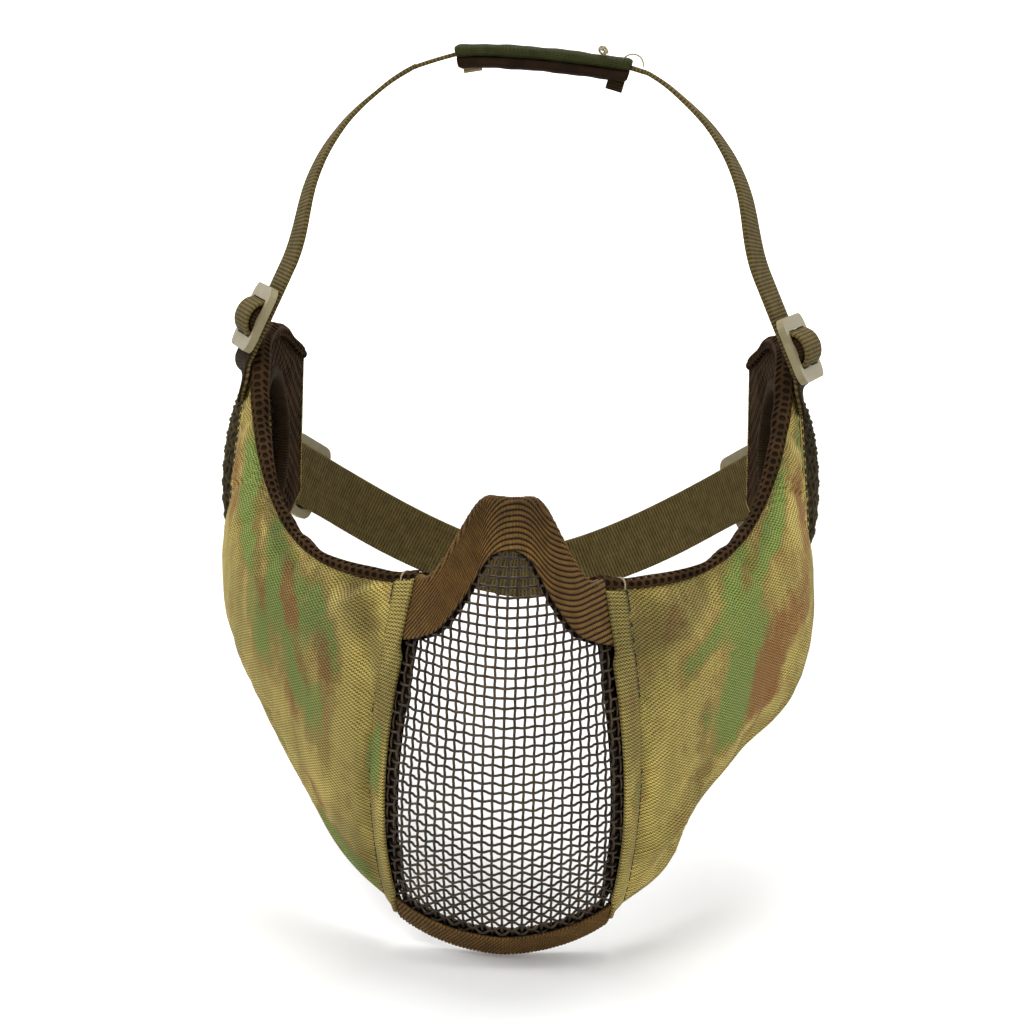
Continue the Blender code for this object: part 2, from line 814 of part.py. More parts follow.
def slider(name, centre, run, bar, out):
    """Three-bar slider, and the webbing folded over its middle bar."""
    lift = STRAP_THICKNESS / 2 + GAP + SLIDER_THICKNESS / 2 + 0.4 * MM
    seat = centre + out * lift

    def place(local):
        return seat + bar * local[0] + run * local[1] + out * local[2]

    slot = (SLIDER_HEIGHT - 2 * SLIDER_BAR - SLIDER_CENTRE_BAR) / 2
    slots = []
    for way in (1, -1):
        middle = way * (SLIDER_CENTRE_BAR + slot) / 2
        box = rounded_rectangle(SLOT_LENGTH, slot, 0.8 * MM, 1)
        slots.append([(x, y + middle) for x, y in box])
    plate_with_slots(
        name,
        rounded_rectangle(SLIDER_WIDTH, SLIDER_HEIGHT, CORNER_RADIUS),
        slots,
        SLIDER_THICKNESS,
        place,
        slider_plastic(),
    )
    reach = SLIDER_CENTRE_BAR / 2 + slot - 0.5 * MM
    foot = -SLIDER_THICKNESS / 2 - 0.3 * MM
    outer, inner = [], []
    steps = 10
    for i in range(steps + 1):
        a = math.pi * i / steps
        outer.append((reach * math.cos(a), foot + (WRAP_HEIGHT) * math.sin(a) ** 0.8))
        inner.append(
            (
                (reach - 1.5 * MM) * math.cos(a),
                foot + (WRAP_HEIGHT - 1.4 * MM) * math.sin(a) ** 0.8,
            )
        )
    profile = outer + inner[::-1]
    sections = [
        [place((w, y, z)) for y, z in profile] for w in (-WRAP_WIDTH / 2, WRAP_WIDTH / 2)
    ]
    wrap_faces(f"{name}_wrap", sections, steps)


def wrap_faces(name, sections, steps):
    """Arch-shaped strap piece between two end profiles, whose caps are strips of quads."""
    size = len(sections[0])
    verts = sections[0] + sections[1]
    faces = [(j, (j + 1) % size, size + (j + 1) % size, size + j) for j in range(size)]
    for i in range(steps):
        a, b = i, i + 1
        c, d = size - 1 - i - 1, size - 1 - i
        faces.append((b, a, d, c))
        faces.append((size + a, size + b, size + c, size + d))
    finish(name, verts, faces, olive_webbing())


def tab(name, centre, run, bar, out, length, mat):
    """Short webbing patch that holds an anchor strap's end on the wing."""
    sections = []
    for t in (-length / 2, -length / 6, length / 6, length / 2):
        p = centre + run * t
        sections.append(
            [
                p - bar * TAB_WIDTH / 2,
                p + bar * TAB_WIDTH / 2,
                p + bar * TAB_WIDTH / 2 + out * TAB_THICKNESS,
                p - bar * TAB_WIDTH / 2 + out * TAB_THICKNESS,
            ]
        )
    swept(name, sections, mat)


def wing_patch(name, side, span, depths, mat):
    """Piece of webbing sewn to the wing's outer face: span holds stations, then heights."""
    near, far, low, high = span
    steps = 4
    sections = []
    for i in range(steps + 1):
        station = near + (far - near) * i / steps
        section = []
        for v, depth in ((low, 0), (high, 0), (high, 1), (low, 1)):
            at = wing_point(station, v) + wing_normal(station, v) * depths[depth] * MM
            section.append(mirrored(at, side))
        sections.append(section)
    swept(name, sections, mat)


def crown_fittings(side):
    name = side_name(side)
    place, run, bar, out = crown_frame(side)
    start = place - run * CROWN_BELOW
    anchor_strap(f"{name}_crown_anchor_strap", start, run, bar, CROWN_BELOW + CROWN_ABOVE)
    slider(f"{name}_crown_slider", place + run * CROWN_SHIFT[side], run, bar, out)
    wing_patch(f"{name}_crown_tab", side, CROWN_TAB, (0.3, 2.2), brown_webbing())


def nape_fittings(side):
    name = side_name(side)
    start, run, bar, out = nape_frame(side)
    anchor_strap(f"{name}_nape_anchor_strap", start, run, bar, NAPE_LENGTH)
    slider(f"{name}_nape_slider", start + run * NAPE_SLIDER_AT, run, bar, out)
    lift = STRAP_THICKNESS / 2 + GAP
    tab(f"{name}_nape_tab", start + run * 3.5 * MM + out * lift, run, bar, out, 8 * MM, brown_webbing())


def main():
    clear_scene()
    face_panel()
    nose_binding()
    chin_binding()
    crown_strap()
    crown_pad()
    nape_strap()
    for side in (1, -1):
        edge_tape(side)
        wing_layers(side)
        top_edge_roll(side)
        seam_strip(side)
        ear_guard(side)
        ear_rim(side)
        crown_fittings(side)
        nape_fittings(side)


main()
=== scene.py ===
"""Looks of the camo face mask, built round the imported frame."""

import math

import bmesh
import bpy
import numpy as np
from mathutils import Matrix, Vector, noise


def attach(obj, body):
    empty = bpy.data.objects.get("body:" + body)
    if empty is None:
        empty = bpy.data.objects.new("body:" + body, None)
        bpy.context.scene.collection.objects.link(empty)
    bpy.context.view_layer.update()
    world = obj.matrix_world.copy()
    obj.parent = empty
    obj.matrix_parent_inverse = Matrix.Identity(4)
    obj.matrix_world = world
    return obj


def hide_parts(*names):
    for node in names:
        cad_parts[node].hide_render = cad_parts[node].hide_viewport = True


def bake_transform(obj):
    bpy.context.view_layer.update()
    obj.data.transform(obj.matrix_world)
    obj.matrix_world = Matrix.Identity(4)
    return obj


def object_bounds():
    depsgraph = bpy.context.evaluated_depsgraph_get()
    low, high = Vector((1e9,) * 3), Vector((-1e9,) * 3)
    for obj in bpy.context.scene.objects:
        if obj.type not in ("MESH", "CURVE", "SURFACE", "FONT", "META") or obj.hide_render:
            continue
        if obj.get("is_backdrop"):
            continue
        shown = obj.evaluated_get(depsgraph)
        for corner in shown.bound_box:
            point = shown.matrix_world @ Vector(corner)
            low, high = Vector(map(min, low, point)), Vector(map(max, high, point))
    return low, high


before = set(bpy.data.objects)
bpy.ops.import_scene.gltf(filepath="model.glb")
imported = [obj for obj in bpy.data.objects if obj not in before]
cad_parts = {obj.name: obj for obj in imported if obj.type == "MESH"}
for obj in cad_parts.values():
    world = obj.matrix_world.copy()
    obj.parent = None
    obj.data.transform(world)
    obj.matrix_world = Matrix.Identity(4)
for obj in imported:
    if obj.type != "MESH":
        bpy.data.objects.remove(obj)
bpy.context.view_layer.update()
MM = 0.001
SIDES = ((1, "left"), (-1, "right"))

# ------------------------------------------------------------------ the CAD's guiding surfaces
# the panel: its half angle, how straight it is across, and rows of height, half width,
# and y at the seam and in the middle, in mm
ARC = math.radians(56)
PANEL_WEDGE = 0.5
NOSE_TOP_Z = 19 * MM
CHIN_Z = -122 * MM
SEAM_TOP_Z = -7 * MM
SEAM_BOTTOM_Z = -113 * MM
PANEL_LEVELS = np.array(
    [
        (-125, 29.0, -89, -100),
        (-113, 31.0, -97, -110),
        (-98, 33.5, -105, -121),
        (-81, 35.0, -111, -128.5),
        (-62, 34.8, -113, -132),
        (-44, 33.0, -112, -133),
        (-25, 30.0, -108, -129.5),
        (-7, 26.5, -103, -122.5),
        (10, 23.5, -99, -115.5),
        (25, 21.5, -96, -110),
    ]
)
NOSE_INNER = (6.6, 3.4, -8.0, -17.5, -21.5, -24.0)
CHIN_LEG = 7 * MM
# a wing's top and bottom edges at stations 0 to 9, and how far it bulges between them, in mm
WING_TOPS = [(26.5, -103, -7), (40, -95, -9), (57, -81, -8.5), (70, -63, -3), (79, -44, 9)]
WING_TOPS += [(84, -25, 25), (86, -6, 39), (86, 12, 41), (84, 28, 39), (79, 47, 27)]
WING_BOTTOMS = [(31, -97, -113), (44, -87, -105.5), (58.5, -73, -91.5), (73, -57, -76)]
WING_BOTTOMS += [(84, -40, -60), (89, -21, -49), (90, 0, -42), (89, 19, -37), (85, 34, -31)]
WING_BOTTOMS += [(80, 47, -20)]
WING_BULGES = (0, 3, 5, 6, 6, 5, 4, 3, 2, 0)
WING_START, BLOCK_STATION, WING_END = 0.17, 4.3, 9.0
# the ear opening: an ellipse in stations and v, the share of the height
EAR_STATION, EAR_V, EAR_STATIONS_HALF, EAR_V_HALF = 6.62, 0.49, 1.4, 0.365
EAR_RISE = 7.5 * MM
CROWN_TOP = np.array((0, 20, 136)) * MM
CROWN_RADIUS = 110 * MM
CROWN_LEAN = math.radians(4)
CROWN_ARC = math.radians(20)
CROWN_SHOULDER = ((47.5, 15.5, 123), (60, 11.5, 111), (69, 6.5, 95))
CROWN_SLIDER = np.array((85.6, -6, 46.5)) * MM
CROWN_SHIFT = {1: -2.5 * MM, -1: 3.5 * MM}
CROWN_DIR = (-0.40, 0.20, 0.895)
CROWN_BAR = (0.25, 0.967, 0.04)
CROWN_ABOVE = 23 * MM
NAPE_START_STATION, NAPE_V = 8.35, 0.34
NAPE_DIR = (-0.50, 0.70, -0.51)
NAPE_LENGTH, NAPE_SLIDER_AT = 36 * MM, 22 * MM
NAPE_BACK = np.array((0, 97, -62)) * MM
PAD_START, PAD_END = math.radians(-12.5), math.radians(17)
STRAP_WIDTH = 20 * MM


def unit(v):
    v = np.asarray(v, float)
    return v / np.maximum(np.linalg.norm(v, axis=-1, keepdims=True), 1e-12)


def smooth(x):
    x = np.clip(x, 0.0, 1.0)
    return x * x * (3 - 2 * x)


def bump(x, centre, width):
    """A smooth hill of height 1 and the given half-width."""
    return smooth(1 - np.abs(np.asarray(x, float) - centre) / width)


def run_along(points):
    """Distance along a path at each of its points."""
    return np.concatenate([[0], np.cumsum(np.linalg.norm(np.diff(points, axis=0), axis=1))])


def run_across(grid):
    """Distance along each row of a grid at each of its points."""
    steps = np.linalg.norm(np.diff(grid, axis=1), axis=2)
    return np.concatenate([np.zeros((len(grid), 1)), np.cumsum(steps, axis=1)], 1)


def rows_at(x, run, rows):
    """Rows of numbers known at distances run, read at distances x."""
    return np.stack([np.interp(x, run, column) for column in rows.T], 1)


def pairs(a, b):
    """Every a with every b, as an array of len(a) x len(b) x 2."""
    return np.stack(np.meshgrid(a, b, indexing="ij"), -1)


def spline(points, t):
    """Catmull-Rom through points with unit knots, for an array of places t."""
    pts = np.asarray(points, float)
    if pts.ndim == 1:
        pts = pts[:, None]
    last = len(pts) - 1
    t = np.atleast_1d(np.asarray(t, float))
    k = np.clip(np.floor(t).astype(int), 0, last - 1)
    f = (t - k)[:, None]
    p1, p2 = pts[k], pts[k + 1]
    p0 = np.where((k > 0)[:, None], pts[np.maximum(k - 1, 0)], 2 * p1 - p2)
    p3 = np.where((k + 2 <= last)[:, None], pts[np.minimum(k + 2, last)], 2 * p2 - p1)
    a = (p2 - p0) * f + (2 * p0 - 5 * p1 + 4 * p2 - p3) * f**2
    return 0.5 * (2 * p1 + a + (3 * p1 - p0 - 3 * p2 + p3) * f**3)


def panel_level(z):
    k = np.interp(z, PANEL_LEVELS[:, 0] * MM, np.arange(len(PANEL_LEVELS)))
    return spline(PANEL_LEVELS[:, 1:] * MM, k)


def panel_flat(r, z):
    half, seam_y, centre_y = panel_level(z).T
    across = np.sin(r * ARC) / math.sin(ARC)
    arc = (1 - np.cos(r * ARC)) / (1 - math.cos(ARC))
    share = arc + PANEL_WEDGE * (np.abs(across) ** 1.35 - arc)
    return np.stack([half * across, centre_y + (seam_y - centre_y) * share, z], 1)


def with_normals(surface, a, b, da, db, depth):
    """Points of a surface moved out along its normal by depth, with those normals."""
    a, b = np.broadcast_arrays(np.asarray(a, float), np.asarray(b, float))
    shape = a.shape
    a, b = a.ravel(), b.ravel()
    across = surface(a + da, b) - surface(a - da, b)
    along = surface(a, b + db) - surface(a, b - db)
    normal = unit(np.cross(across, along))
    depth = np.broadcast_to(np.asarray(depth, float), shape).reshape(-1, 1)
    at = surface(a, b) + normal * depth
    return at.reshape(*shape, 3), normal.reshape(*shape, 3)


def panel(r, z, depth=0.0):
    return with_normals(panel_flat, r, z, 0.01, 0.5 * MM, depth)


def panel_top(r):
    x = np.sin(np.abs(r) * ARC) / math.sin(ARC)
    return NOSE_TOP_Z + (SEAM_TOP_Z - NOSE_TOP_Z) * smooth((x - 0.24) / 0.68)


def nose_inner(r):
    levels = NOSE_INNER[:0:-1] + NOSE_INNER
    return spline(levels, (np.asarray(r) + 1) * (len(NOSE_INNER) - 1))[:, 0] * MM


def panel_bottom(r):
    return CHIN_Z + (SEAM_BOTTOM_Z - CHIN_Z) * np.asarray(r) ** 2


def wing_flat(s, v):
    top, bottom = spline(WING_TOPS, s), spline(WING_BOTTOMS, s)
    ahead = spline(WING_TOPS, s + 0.05) + spline(WING_BOTTOMS, s + 0.05)
    ahead = ahead - spline(WING_TOPS, s - 0.05) - spline(WING_BOTTOMS, s - 0.05)
    outward = unit(np.stack([ahead[:, 1], -ahead[:, 0], np.zeros(len(s))], 1))
    vv = v[:, None]
    point = bottom + (top - bottom) * vv
    point = point + outward * spline(WING_BULGES, s) * 4 * vv * (1 - vv)
    first = np.array(WING_BOTTOMS[0]) + (np.array(WING_TOPS[0]) - WING_BOTTOMS[0]) * vv
    level = panel_level(first[:, 2] * MM) / MM
    pull = np.maximum(0.0, 1 - s / 3) ** 2
    point[:, 0] += (level[:, 0] - first[:, 0]) * pull
    point[:, 1] += (level[:, 1] - first[:, 1]) * pull
    return point * MM


def wing_warp(side, s, v):
    """How each wing's soft edges differ from the plain CAD shape, in metres."""
    out = np.zeros((len(s), 3))
    low = (1 - v) ** 2
    if side > 0:
        out[:, 0] = (5.2 * bump(s, 4.2, 1.05) - 0.9 * bump(s, 3.2, 0.5)) * low
        out[:, 0] -= 3.4 * bump(s, 2.4, 1.3) * low
        out[:, 0] += 1.6 * bump(s, 1.3, 0.8) * low
        out[:, 2] = (0.8 * bump(s, 2.4, 0.9) - 1.4 * bump(s, 3.9, 1.2)) * low
    else:
        out[:, 0] = (1.6 * bump(s, 1.5, 1.0) - 0.6 * bump(s, 3.1, 0.9)) * low
        out[:, 2] = 0.4 * bump(s, 3.2, 2.0) * low
    return out * MM


def wing(side, s, v, depth=0.0):
    """Points and normals on a wing; side 1 is the wearer's left."""
    at, normal = with_normals(
        lambda a, b: wing_flat(a, b) + wing_warp(side, a, b), s, v, 0.02, 0.01, depth
    )
    flip = np.array([side, 1, 1])
    return at * flip, normal * flip


# arc lengths along the wing, so that cloth patterns keep their size
STATIONS = np.linspace(0, 9.2, 93)
WING_RUN = run_along(wing_flat(STATIONS, np.full(93, 0.5)))
WING_SPAN = wing_flat(STATIONS, np.ones(93)) - wing_flat(STATIONS, np.zeros(93))
WING_HEIGHT = np.linalg.norm(WING_SPAN, axis=1)


def wing_uv(s, v):
    height = np.interp(s, STATIONS, WING_HEIGHT)
    return np.stack([np.interp(s, STATIONS, WING_RUN), np.asarray(v) * height], -1)


def wing_from_uv(u, w):
    s = np.interp(u, WING_RUN, STATIONS)
    return s, w / np.interp(s, STATIONS, WING_HEIGHT)


# ------------------------------------------------------------------ mesh helpers
def build(name, verts, faces, mat, uv=None, values=None):
    """A smooth-shaded mesh; uv and the named values have one row for each vertex."""
    mesh = bpy.data.meshes.new(name)
    points = np.asarray(verts, float).reshape(-1, 3).tolist()
    mesh.from_pydata(points, [], [list(f) for f in faces])
    mesh.validate()
    if uv is not None:
        layer = mesh.uv_layers.new(name="UVMap")
        loops = np.empty(len(mesh.loops), int)
        mesh.loops.foreach_get("vertex_index", loops)
        places = np.asarray(uv, np.float32).reshape(-1, 2)
        layer.data.foreach_set("uv", places[loops].ravel())
    for key, data in (values or {}).items():
        attribute = mesh.attributes.new(key, "FLOAT", "POINT")
        attribute.data.foreach_set("value", np.asarray(data, np.float32).ravel())
    mesh.shade_smooth()
    obj = bpy.data.objects.new(name, mesh)
    mesh.materials.append(mat)
    bpy.context.collection.objects.link(obj)
    return obj


def orient(obj):
    work = bmesh.new()
    work.from_mesh(obj.data)
    bmesh.ops.recalc_face_normals(work, faces=work.faces)
    work.to_mesh(obj.data)
    work.free()
    return obj


def grid_faces(rows, cols, wrap_rows=False, wrap_cols=False, start=0):
    i = np.arange(rows if wrap_rows else rows - 1)[:, None]
    j = np.arange(cols if wrap_cols else cols - 1)[None, :]
    i1, j1 = (i + 1) % rows, (j + 1) % cols
    quads = np.stack([i * cols + j, i1 * cols + j, i1 * cols + j1, i * cols + j1], -1)
    return (quads.reshape(-1, 4) + start).tolist()


def loft(name, rings, mat, closed=False, uv=None, values=None):
    """A solid through rings: an array of sections x points x 3."""
    rings = np.asarray(rings, float)
    rows, cols = rings.shape[:2]
    faces = grid_faces(rows, cols, wrap_rows=closed, wrap_cols=True)
    if not closed:
        faces.append(list(range(cols)))
        faces.append([(rows - 1) * cols + j for j in range(cols)])
    return orient(build(name, rings, faces, mat, uv, values))


def tubes(name, paths, mat, sides=6):
    """Many tubes as one mesh; each path is (points, one side direction for each, radius)."""
    verts, faces, runs, start = [], [], [], 0
    angle = np.arange(sides) * 2 * np.pi / sides
    for points, ref, radius in paths:
        count = len(points)
        tangent = unit(np.gradient(points, axis=0))
        normal = unit(ref - tangent * np.sum(ref * tangent, 1, keepdims=True))
        binormal = np.cross(tangent, normal)
        radius = np.broadcast_to(radius, count)[:, None, None]
        ring = np.cos(angle)[None, :, None] * normal[:, None]
        ring = ring + np.sin(angle)[None, :, None] * binormal[:, None]
        verts.append((points[:, None] + ring * radius).reshape(-1, 3))
        runs.append(np.repeat(run_along(points), sides))
        faces += grid_faces(count, sides, wrap_cols=True, start=start)
        faces.append([start + j for j in reversed(range(sides))])
        faces.append([start + (count - 1) * sides + j for j in range(sides)])
        start += count * sides
    values = {"run": np.concatenate(runs)}
    return build(name, np.concatenate(verts), faces, mat, values=values)


def thicken(obj, thickness, offset):
    """Gives a sheet a thickness; offset 0 grows it both ways, -1 only inwards."""
    solid = obj.modifiers.new("Thickness", "SOLIDIFY")
    solid.thickness = thickness
    solid.offset = offset
    bpy.context.view_layer.update()
    depsgraph = bpy.context.evaluated_depsgraph_get()
    mesh = bpy.data.meshes.new_from_object(obj.evaluated_get(depsgraph), depsgraph=depsgraph)
    obj.modifiers.clear()
    obj.data = mesh


# ------------------------------------------------------------------ materials
class Shader:
    """A Principled material with short calls for adding nodes."""

    def __init__(self, name, roughness=0.85, **sockets):
        self.mat = bpy.data.materials.new(name)
        self.mat.use_nodes = True
        self.tree = self.mat.node_tree
        self.out = self.tree.nodes["Principled BSDF"]
        self.out.inputs["Roughness"].default_value = roughness
        for key, value in sockets.items():
            self.out.inputs[key.replace("_", " ")].default_value = value

    def put(self, kind, links=None, **props):
        made = self.tree.nodes.new(kind)
        for key, value in props.items():
            setattr(made, key, value)
        for key, value in (links or {}).items():
            if isinstance(value, bpy.types.NodeSocket):
                self.tree.links.new(value, made.inputs[key])
            else:
                made.inputs[key].default_value = value
        return made

    def math(self, operation, a, b=0.0, c=0.0):
        return self.put("ShaderNodeMath", {0: a, 1: b, 2: c}, operation=operation).outputs[0]

    def value(self, name):
        return self.put("ShaderNodeAttribute", attribute_name=name).outputs["Fac"]

    def uv(self, scale):
        made = self.put("ShaderNodeUVMap", uv_map="UVMap")
        links = {0: made.outputs[0], 1: (scale, scale, scale)}
        return self.put("ShaderNodeVectorMath", links, operation="MULTIPLY").outputs[0]

    def place(self):
        return self.put("ShaderNodeTexCoord").outputs["Object"]

    def noise(self, vector, scale, detail=3.0, roughness=0.55, distortion=0.0):
        links = {"Vector": vector, "Scale": scale, "Detail": detail}
        links |= {"Roughness": roughness, "Distortion": distortion}
        return self.put("ShaderNodeTexNoise", links).outputs["Fac"]

    def ramp(self, factor, low, high, to_low=0.0, to_high=1.0):
        """A smooth step: to_low below low, to_high above high."""
        links = {"Value": factor, "From Min": low, "From Max": high}
        links |= {"To Min": to_low, "To Max": to_high}
        return self.put("ShaderNodeMapRange", links, interpolation_type="SMOOTHSTEP").outputs[0]

    def mix(self, factor, a, b, blend="MIX"):
        made = self.put("ShaderNodeMix", data_type="RGBA", blend_type=blend)
        for key, value in ((0, factor), (6, a), (7, b)):
            if isinstance(value, bpy.types.NodeSocket):
                self.tree.links.new(value, made.inputs[key])
            else:
                made.inputs[key].default_value = value if key == 0 else (*value, 1)
        return made.outputs[2]

    def relief(self, height, distance, strength=1.0):
        links = {"Height": height, "Distance": distance, "Strength": strength}
        normal = self.put("ShaderNodeBump", links).outputs[0]
        self.tree.links.new(normal, self.out.inputs["Normal"])

    def colour(self, socket):
        self.tree.links.new(socket, self.out.inputs["Base Color"])

    def dimmed(self, tone, share):
        """Sets the colour to tone times share."""
        grey = self.put("ShaderNodeCombineColor", {0: share, 1: share, 2: share}).outputs[0]
        self.colour(self.mix(1.0, tone, grey, "MULTIPLY"))

    def rough(self, socket):
        self.tree.links.new(socket, self.out.inputs["Roughness"])

    def split(self, vector):
        return self.put("ShaderNodeSeparateXYZ", {0: vector}).outputs

    def wave(self, coordinate, per_unit, phase=0.0):
        """sin(2 pi (coordinate x per_unit + phase)), from -1 to 1."""
        turns = self.math("MULTIPLY_ADD", coordinate, per_unit * 2 * math.pi, phase * 2 * math.pi)
        return self.math("SINE", turns)


KHAKI = (0.520, 0.405, 0.100)
OLIVE = (0.330, 0.265, 0.060)
GREEN = (0.195, 0.275, 0.048)
RUST = (0.290, 0.130, 0.026)
HALO = (0.330, 0.190, 0.045)
PER_METRE = 1000.0
THREAD_PITCH_MM, RIB_PITCH_MM = 0.88, 1.12


def camo_material(name):
    """Printed canvas: masks come from the mesh, edges and threads from the nodes."""
    s = Shader(name, 0.8, Sheen_Weight=0.04, Sheen_Roughness=0.5, Specular_IOR_Level=0.22)
    at = s.place()
    fine = s.noise(at, 420, 4, 0.6)
    mid = s.noise(at, 120, 3, 0.6)
    links = {0: at, "Rotation": (0.1, 0.5, 0.2), "Scale": (1, 1, 0.35)}
    streak = s.noise(s.put("ShaderNodeMapping", links).outputs[0], 70, 4, 0.6, 0.4)
    edge = s.math("MULTIPLY_ADD", s.math("SUBTRACT", fine, 0.5), 0.8, 0)
    edge = s.math("MULTIPLY_ADD", s.math("SUBTRACT", streak, 0.5), 1.5, edge)
    base = s.mix(s.ramp(streak, 0.36, 0.68), KHAKI, OLIVE)
    base = s.mix(s.ramp(mid, 0.48, 0.72, 0, 0.55), base, HALO)
    near_green = s.math("ADD", s.value("green"), edge)
    rust = s.ramp(s.math("ADD", s.value("rust"), edge), 0.25, 0.95, 0, 0.95)
    tone = s.mix(s.ramp(near_green, 0.12, 0.50, 0, 0.6), base, HALO)
    tone = s.mix(s.ramp(near_green, 0.30, 0.90, 0, 0.92), tone, GREEN)
    tone = s.mix(rust, tone, RUST)
    # threads, and slightly wider ribs across them
    x, y, _ = s.split(s.uv(PER_METRE))
    warp, weft = s.wave(x, 1 / THREAD_PITCH_MM), s.wave(y, 1 / THREAD_PITCH_MM)
    basket = s.math("MULTIPLY", warp, weft)
    rib = s.wave(y, 1 / RIB_PITCH_MM, 0.2)
    threads = s.math("MULTIPLY_ADD", rib, 0.55, basket)
    # painted shade: the gaps between the threads are darkened and the thread tops lightened
    brightness = s.ramp(threads, -1.1, 1.3, 0.20, 1.74)
    # the shade value darkens the cloth: partly darker print, partly painted shade near the seams
    s.dimmed(tone, s.math("MULTIPLY", brightness, s.value("shade")))
    s.relief(s.math("ADD", threads, s.math("MULTIPLY", fine, 0.5)), 0.00020, 1.0)
    return s.mat


def webbing_material(name, light, dark, per_mm, cross):
    """Woven tape: per_mm ribs across its length, crossed by chains, from the UV in metres."""
    s = Shader(name, 0.9, Specular_IOR_Level=0.07)
    x, y, _ = s.split(s.uv(PER_METRE))
    rib = s.wave(x, per_mm)
    chain = s.wave(y, cross)
    knots = s.math("MULTIPLY", rib, chain)
    both = s.math("MULTIPLY_ADD", knots, 0.45, s.math("MULTIPLY", rib, 0.65))
    dust = s.noise(s.place(), 300, 3)
    # painted shade: darker in the grooves between the ribs and knots
    tone = s.mix(s.ramp(both, -1.0, 0.9), dark, light)
    brightness = s.ramp(dust, 0.3, 0.7, 0.82, 1.12)
    s.dimmed(tone, brightness)
    s.relief(both, 0.00016, 0.8)
    return s.mat


def ribbed_material(name, light, dark):
    """Ribbed webbing whose cords are in the mesh; nodes add the strands along them."""
    s = Shader(name, 0.75, Sheen_Weight=0.03, Sheen_Roughness=0.4, Specular_IOR_Level=0.2)
    cord = s.value("cord")
    strand = s.wave(s.split(s.uv(PER_METRE))[0], 1.35)
    dust = s.noise(s.place(), 260, 3)
    # painted shade: the tone darkens in the grooves between the cords
    tone = s.mix(s.ramp(cord, 0.22, 0.90), dark, light)
    dusty = s.ramp(dust, 0.3, 0.7, 0.8, 1.15)
    # dust and strands here, times the painted shade over the nose bridge below
    brightness = s.math("MULTIPLY", dusty, s.ramp(strand, -1, 1, 0.82, 1.1))
    # painted shade: darker towards the top of the nose bridge
    height = s.split(s.place())[2]
    brightness = s.math("MULTIPLY", brightness, s.ramp(height, 0.006, 0.020, 1.0, 0.62))
    s.dimmed(tone, brightness)
    s.relief(s.math("MULTIPLY", strand, cord), 0.00018, 0.8)
    return s.mat


def spacer_material(name, colour=(0.027, 0.0145, 0.006)):
    """Dark knit, with the fine grain of its yarn."""
    s = Shader(name, 0.9, Specular_IOR_Level=0.06)
    knit = s.noise(s.place(), 1500, 2)
    dust = s.noise(s.place(), 90, 2)
    tone = s.mix(s.ramp(dust, 0.35, 0.7), colour, tuple(c * 1.7 for c in colour))
    s.colour(tone)
    s.relief(knit, 0.00015, 0.7)
    return s.mat


def wire_material(name, dark, light, metal, shine):
    """Dark coated steel wire, rubbed brighter in places."""
    s = Shader(name, 0.36, Metallic=metal, Specular_IOR_Level=shine)
    grain = s.noise(s.place(), 900, 3)
    patch = s.noise(s.place(), 60, 2)
    tone = s.mix(s.ramp(patch, 0.35, 0.7), dark, light)
    tone = s.mix(s.ramp(grain, 0.62, 0.8, 0, 0.5), tone, (0.12, 0.09, 0.06))
    s.colour(tone)
    dull = 0.4 * (0.5 - metal)
    s.rough(s.ramp(grain, 0.3, 0.75, 0.34 + dull, 0.55 + dull))
    s.relief(grain, 0.00005, 0.5)
    return s.mat


def plastic_material(name):
    s = Shader(name, 0.5, Specular_IOR_Level=0.4)
    grain = s.noise(s.place(), 1800, 2)
    patch = s.noise(s.place(), 150, 3)
    s.colour(s.mix(s.ramp(patch, 0.3, 0.7), (0.190, 0.160, 0.082), (0.240, 0.204, 0.110)))
    s.rough(s.ramp(patch, 0.3, 0.7, 0.42, 0.6))
    s.relief(grain, 0.00004, 0.5)
    return s.mat


def thread_material(name, colour):
    s = Shader(name, 0.75, Sheen_Weight=0.03, Specular_IOR_Level=0.25)
    strand = s.wave(s.value("run"), 1 / (0.7 * MM))
    s.colour(s.mix(s.ramp(strand, -1, 1), tuple(c * 0.65 for c in colour), colour))
    return s.mat


CAMO = camo_material("camo_canvas")
BROWN_RIB = ribbed_material("brown_ribbed_webbing", (0.168, 0.086, 0.018), (0.014, 0.006, 0.001))
OLIVE_TAPE, GREEN_TAPE, DARK_TAPE, PALE_TAPE = (
    webbing_material(name, light, dark, per_mm, cross)
    for name, light, dark, per_mm, cross in (
        ("olive_elastic", (0.128, 0.096, 0.034), (0.044, 0.031, 0.010), 0.8, 0.5),
        ("green_tape", (0.040, 0.043, 0.013), (0.014, 0.015, 0.005), 1.0, 0.8),
        ("dark_tape", (0.034, 0.020, 0.008), (0.012, 0.007, 0.003), 1.0, 0.8),
        ("pale_tape", (0.30, 0.24, 0.12), (0.13, 0.10, 0.05), 1.0, 0.8),
    )
)
SPACER = spacer_material("spacer_mesh")
BACKING = spacer_material("spacer_backing", (0.011, 0.006, 0.003))
WIRE = wire_material("dark_coated_wire", (0.030, 0.019, 0.010), (0.062, 0.040, 0.022), 0.5, 0.5)
PLASTIC = plastic_material("slider_plastic")
EAR_WIRE = wire_material("ear_guard_wire", (0.030, 0.022, 0.008), (0.050, 0.038, 0.014), 0.0, 0.1)
DARK_THREAD = thread_material("dark_thread", (0.030, 0.020, 0.012))
PALE_THREAD = thread_material("pale_thread", (0.33, 0.27, 0.16))

# ------------------------------------------------------------------ woven wire
PITCH, ROW_PITCH = 3.0 * MM, 2.85 * MM
WIRE_RADIUS = 0.40 * MM
ROW_CRIMP, COLUMN_CRIMP = 0.60 * MM, 0.20 * MM
WIRE_STEP, WIRE_COLUMNS = 0.6 * MM, 17


def crimp(x):
    """Wave of a crimped wire: 1 over one crossing, -1 under the next, with firm bends."""
    wave = np.cos(np.pi * x)
    return np.sign(wave) * np.abs(wave) ** 0.75


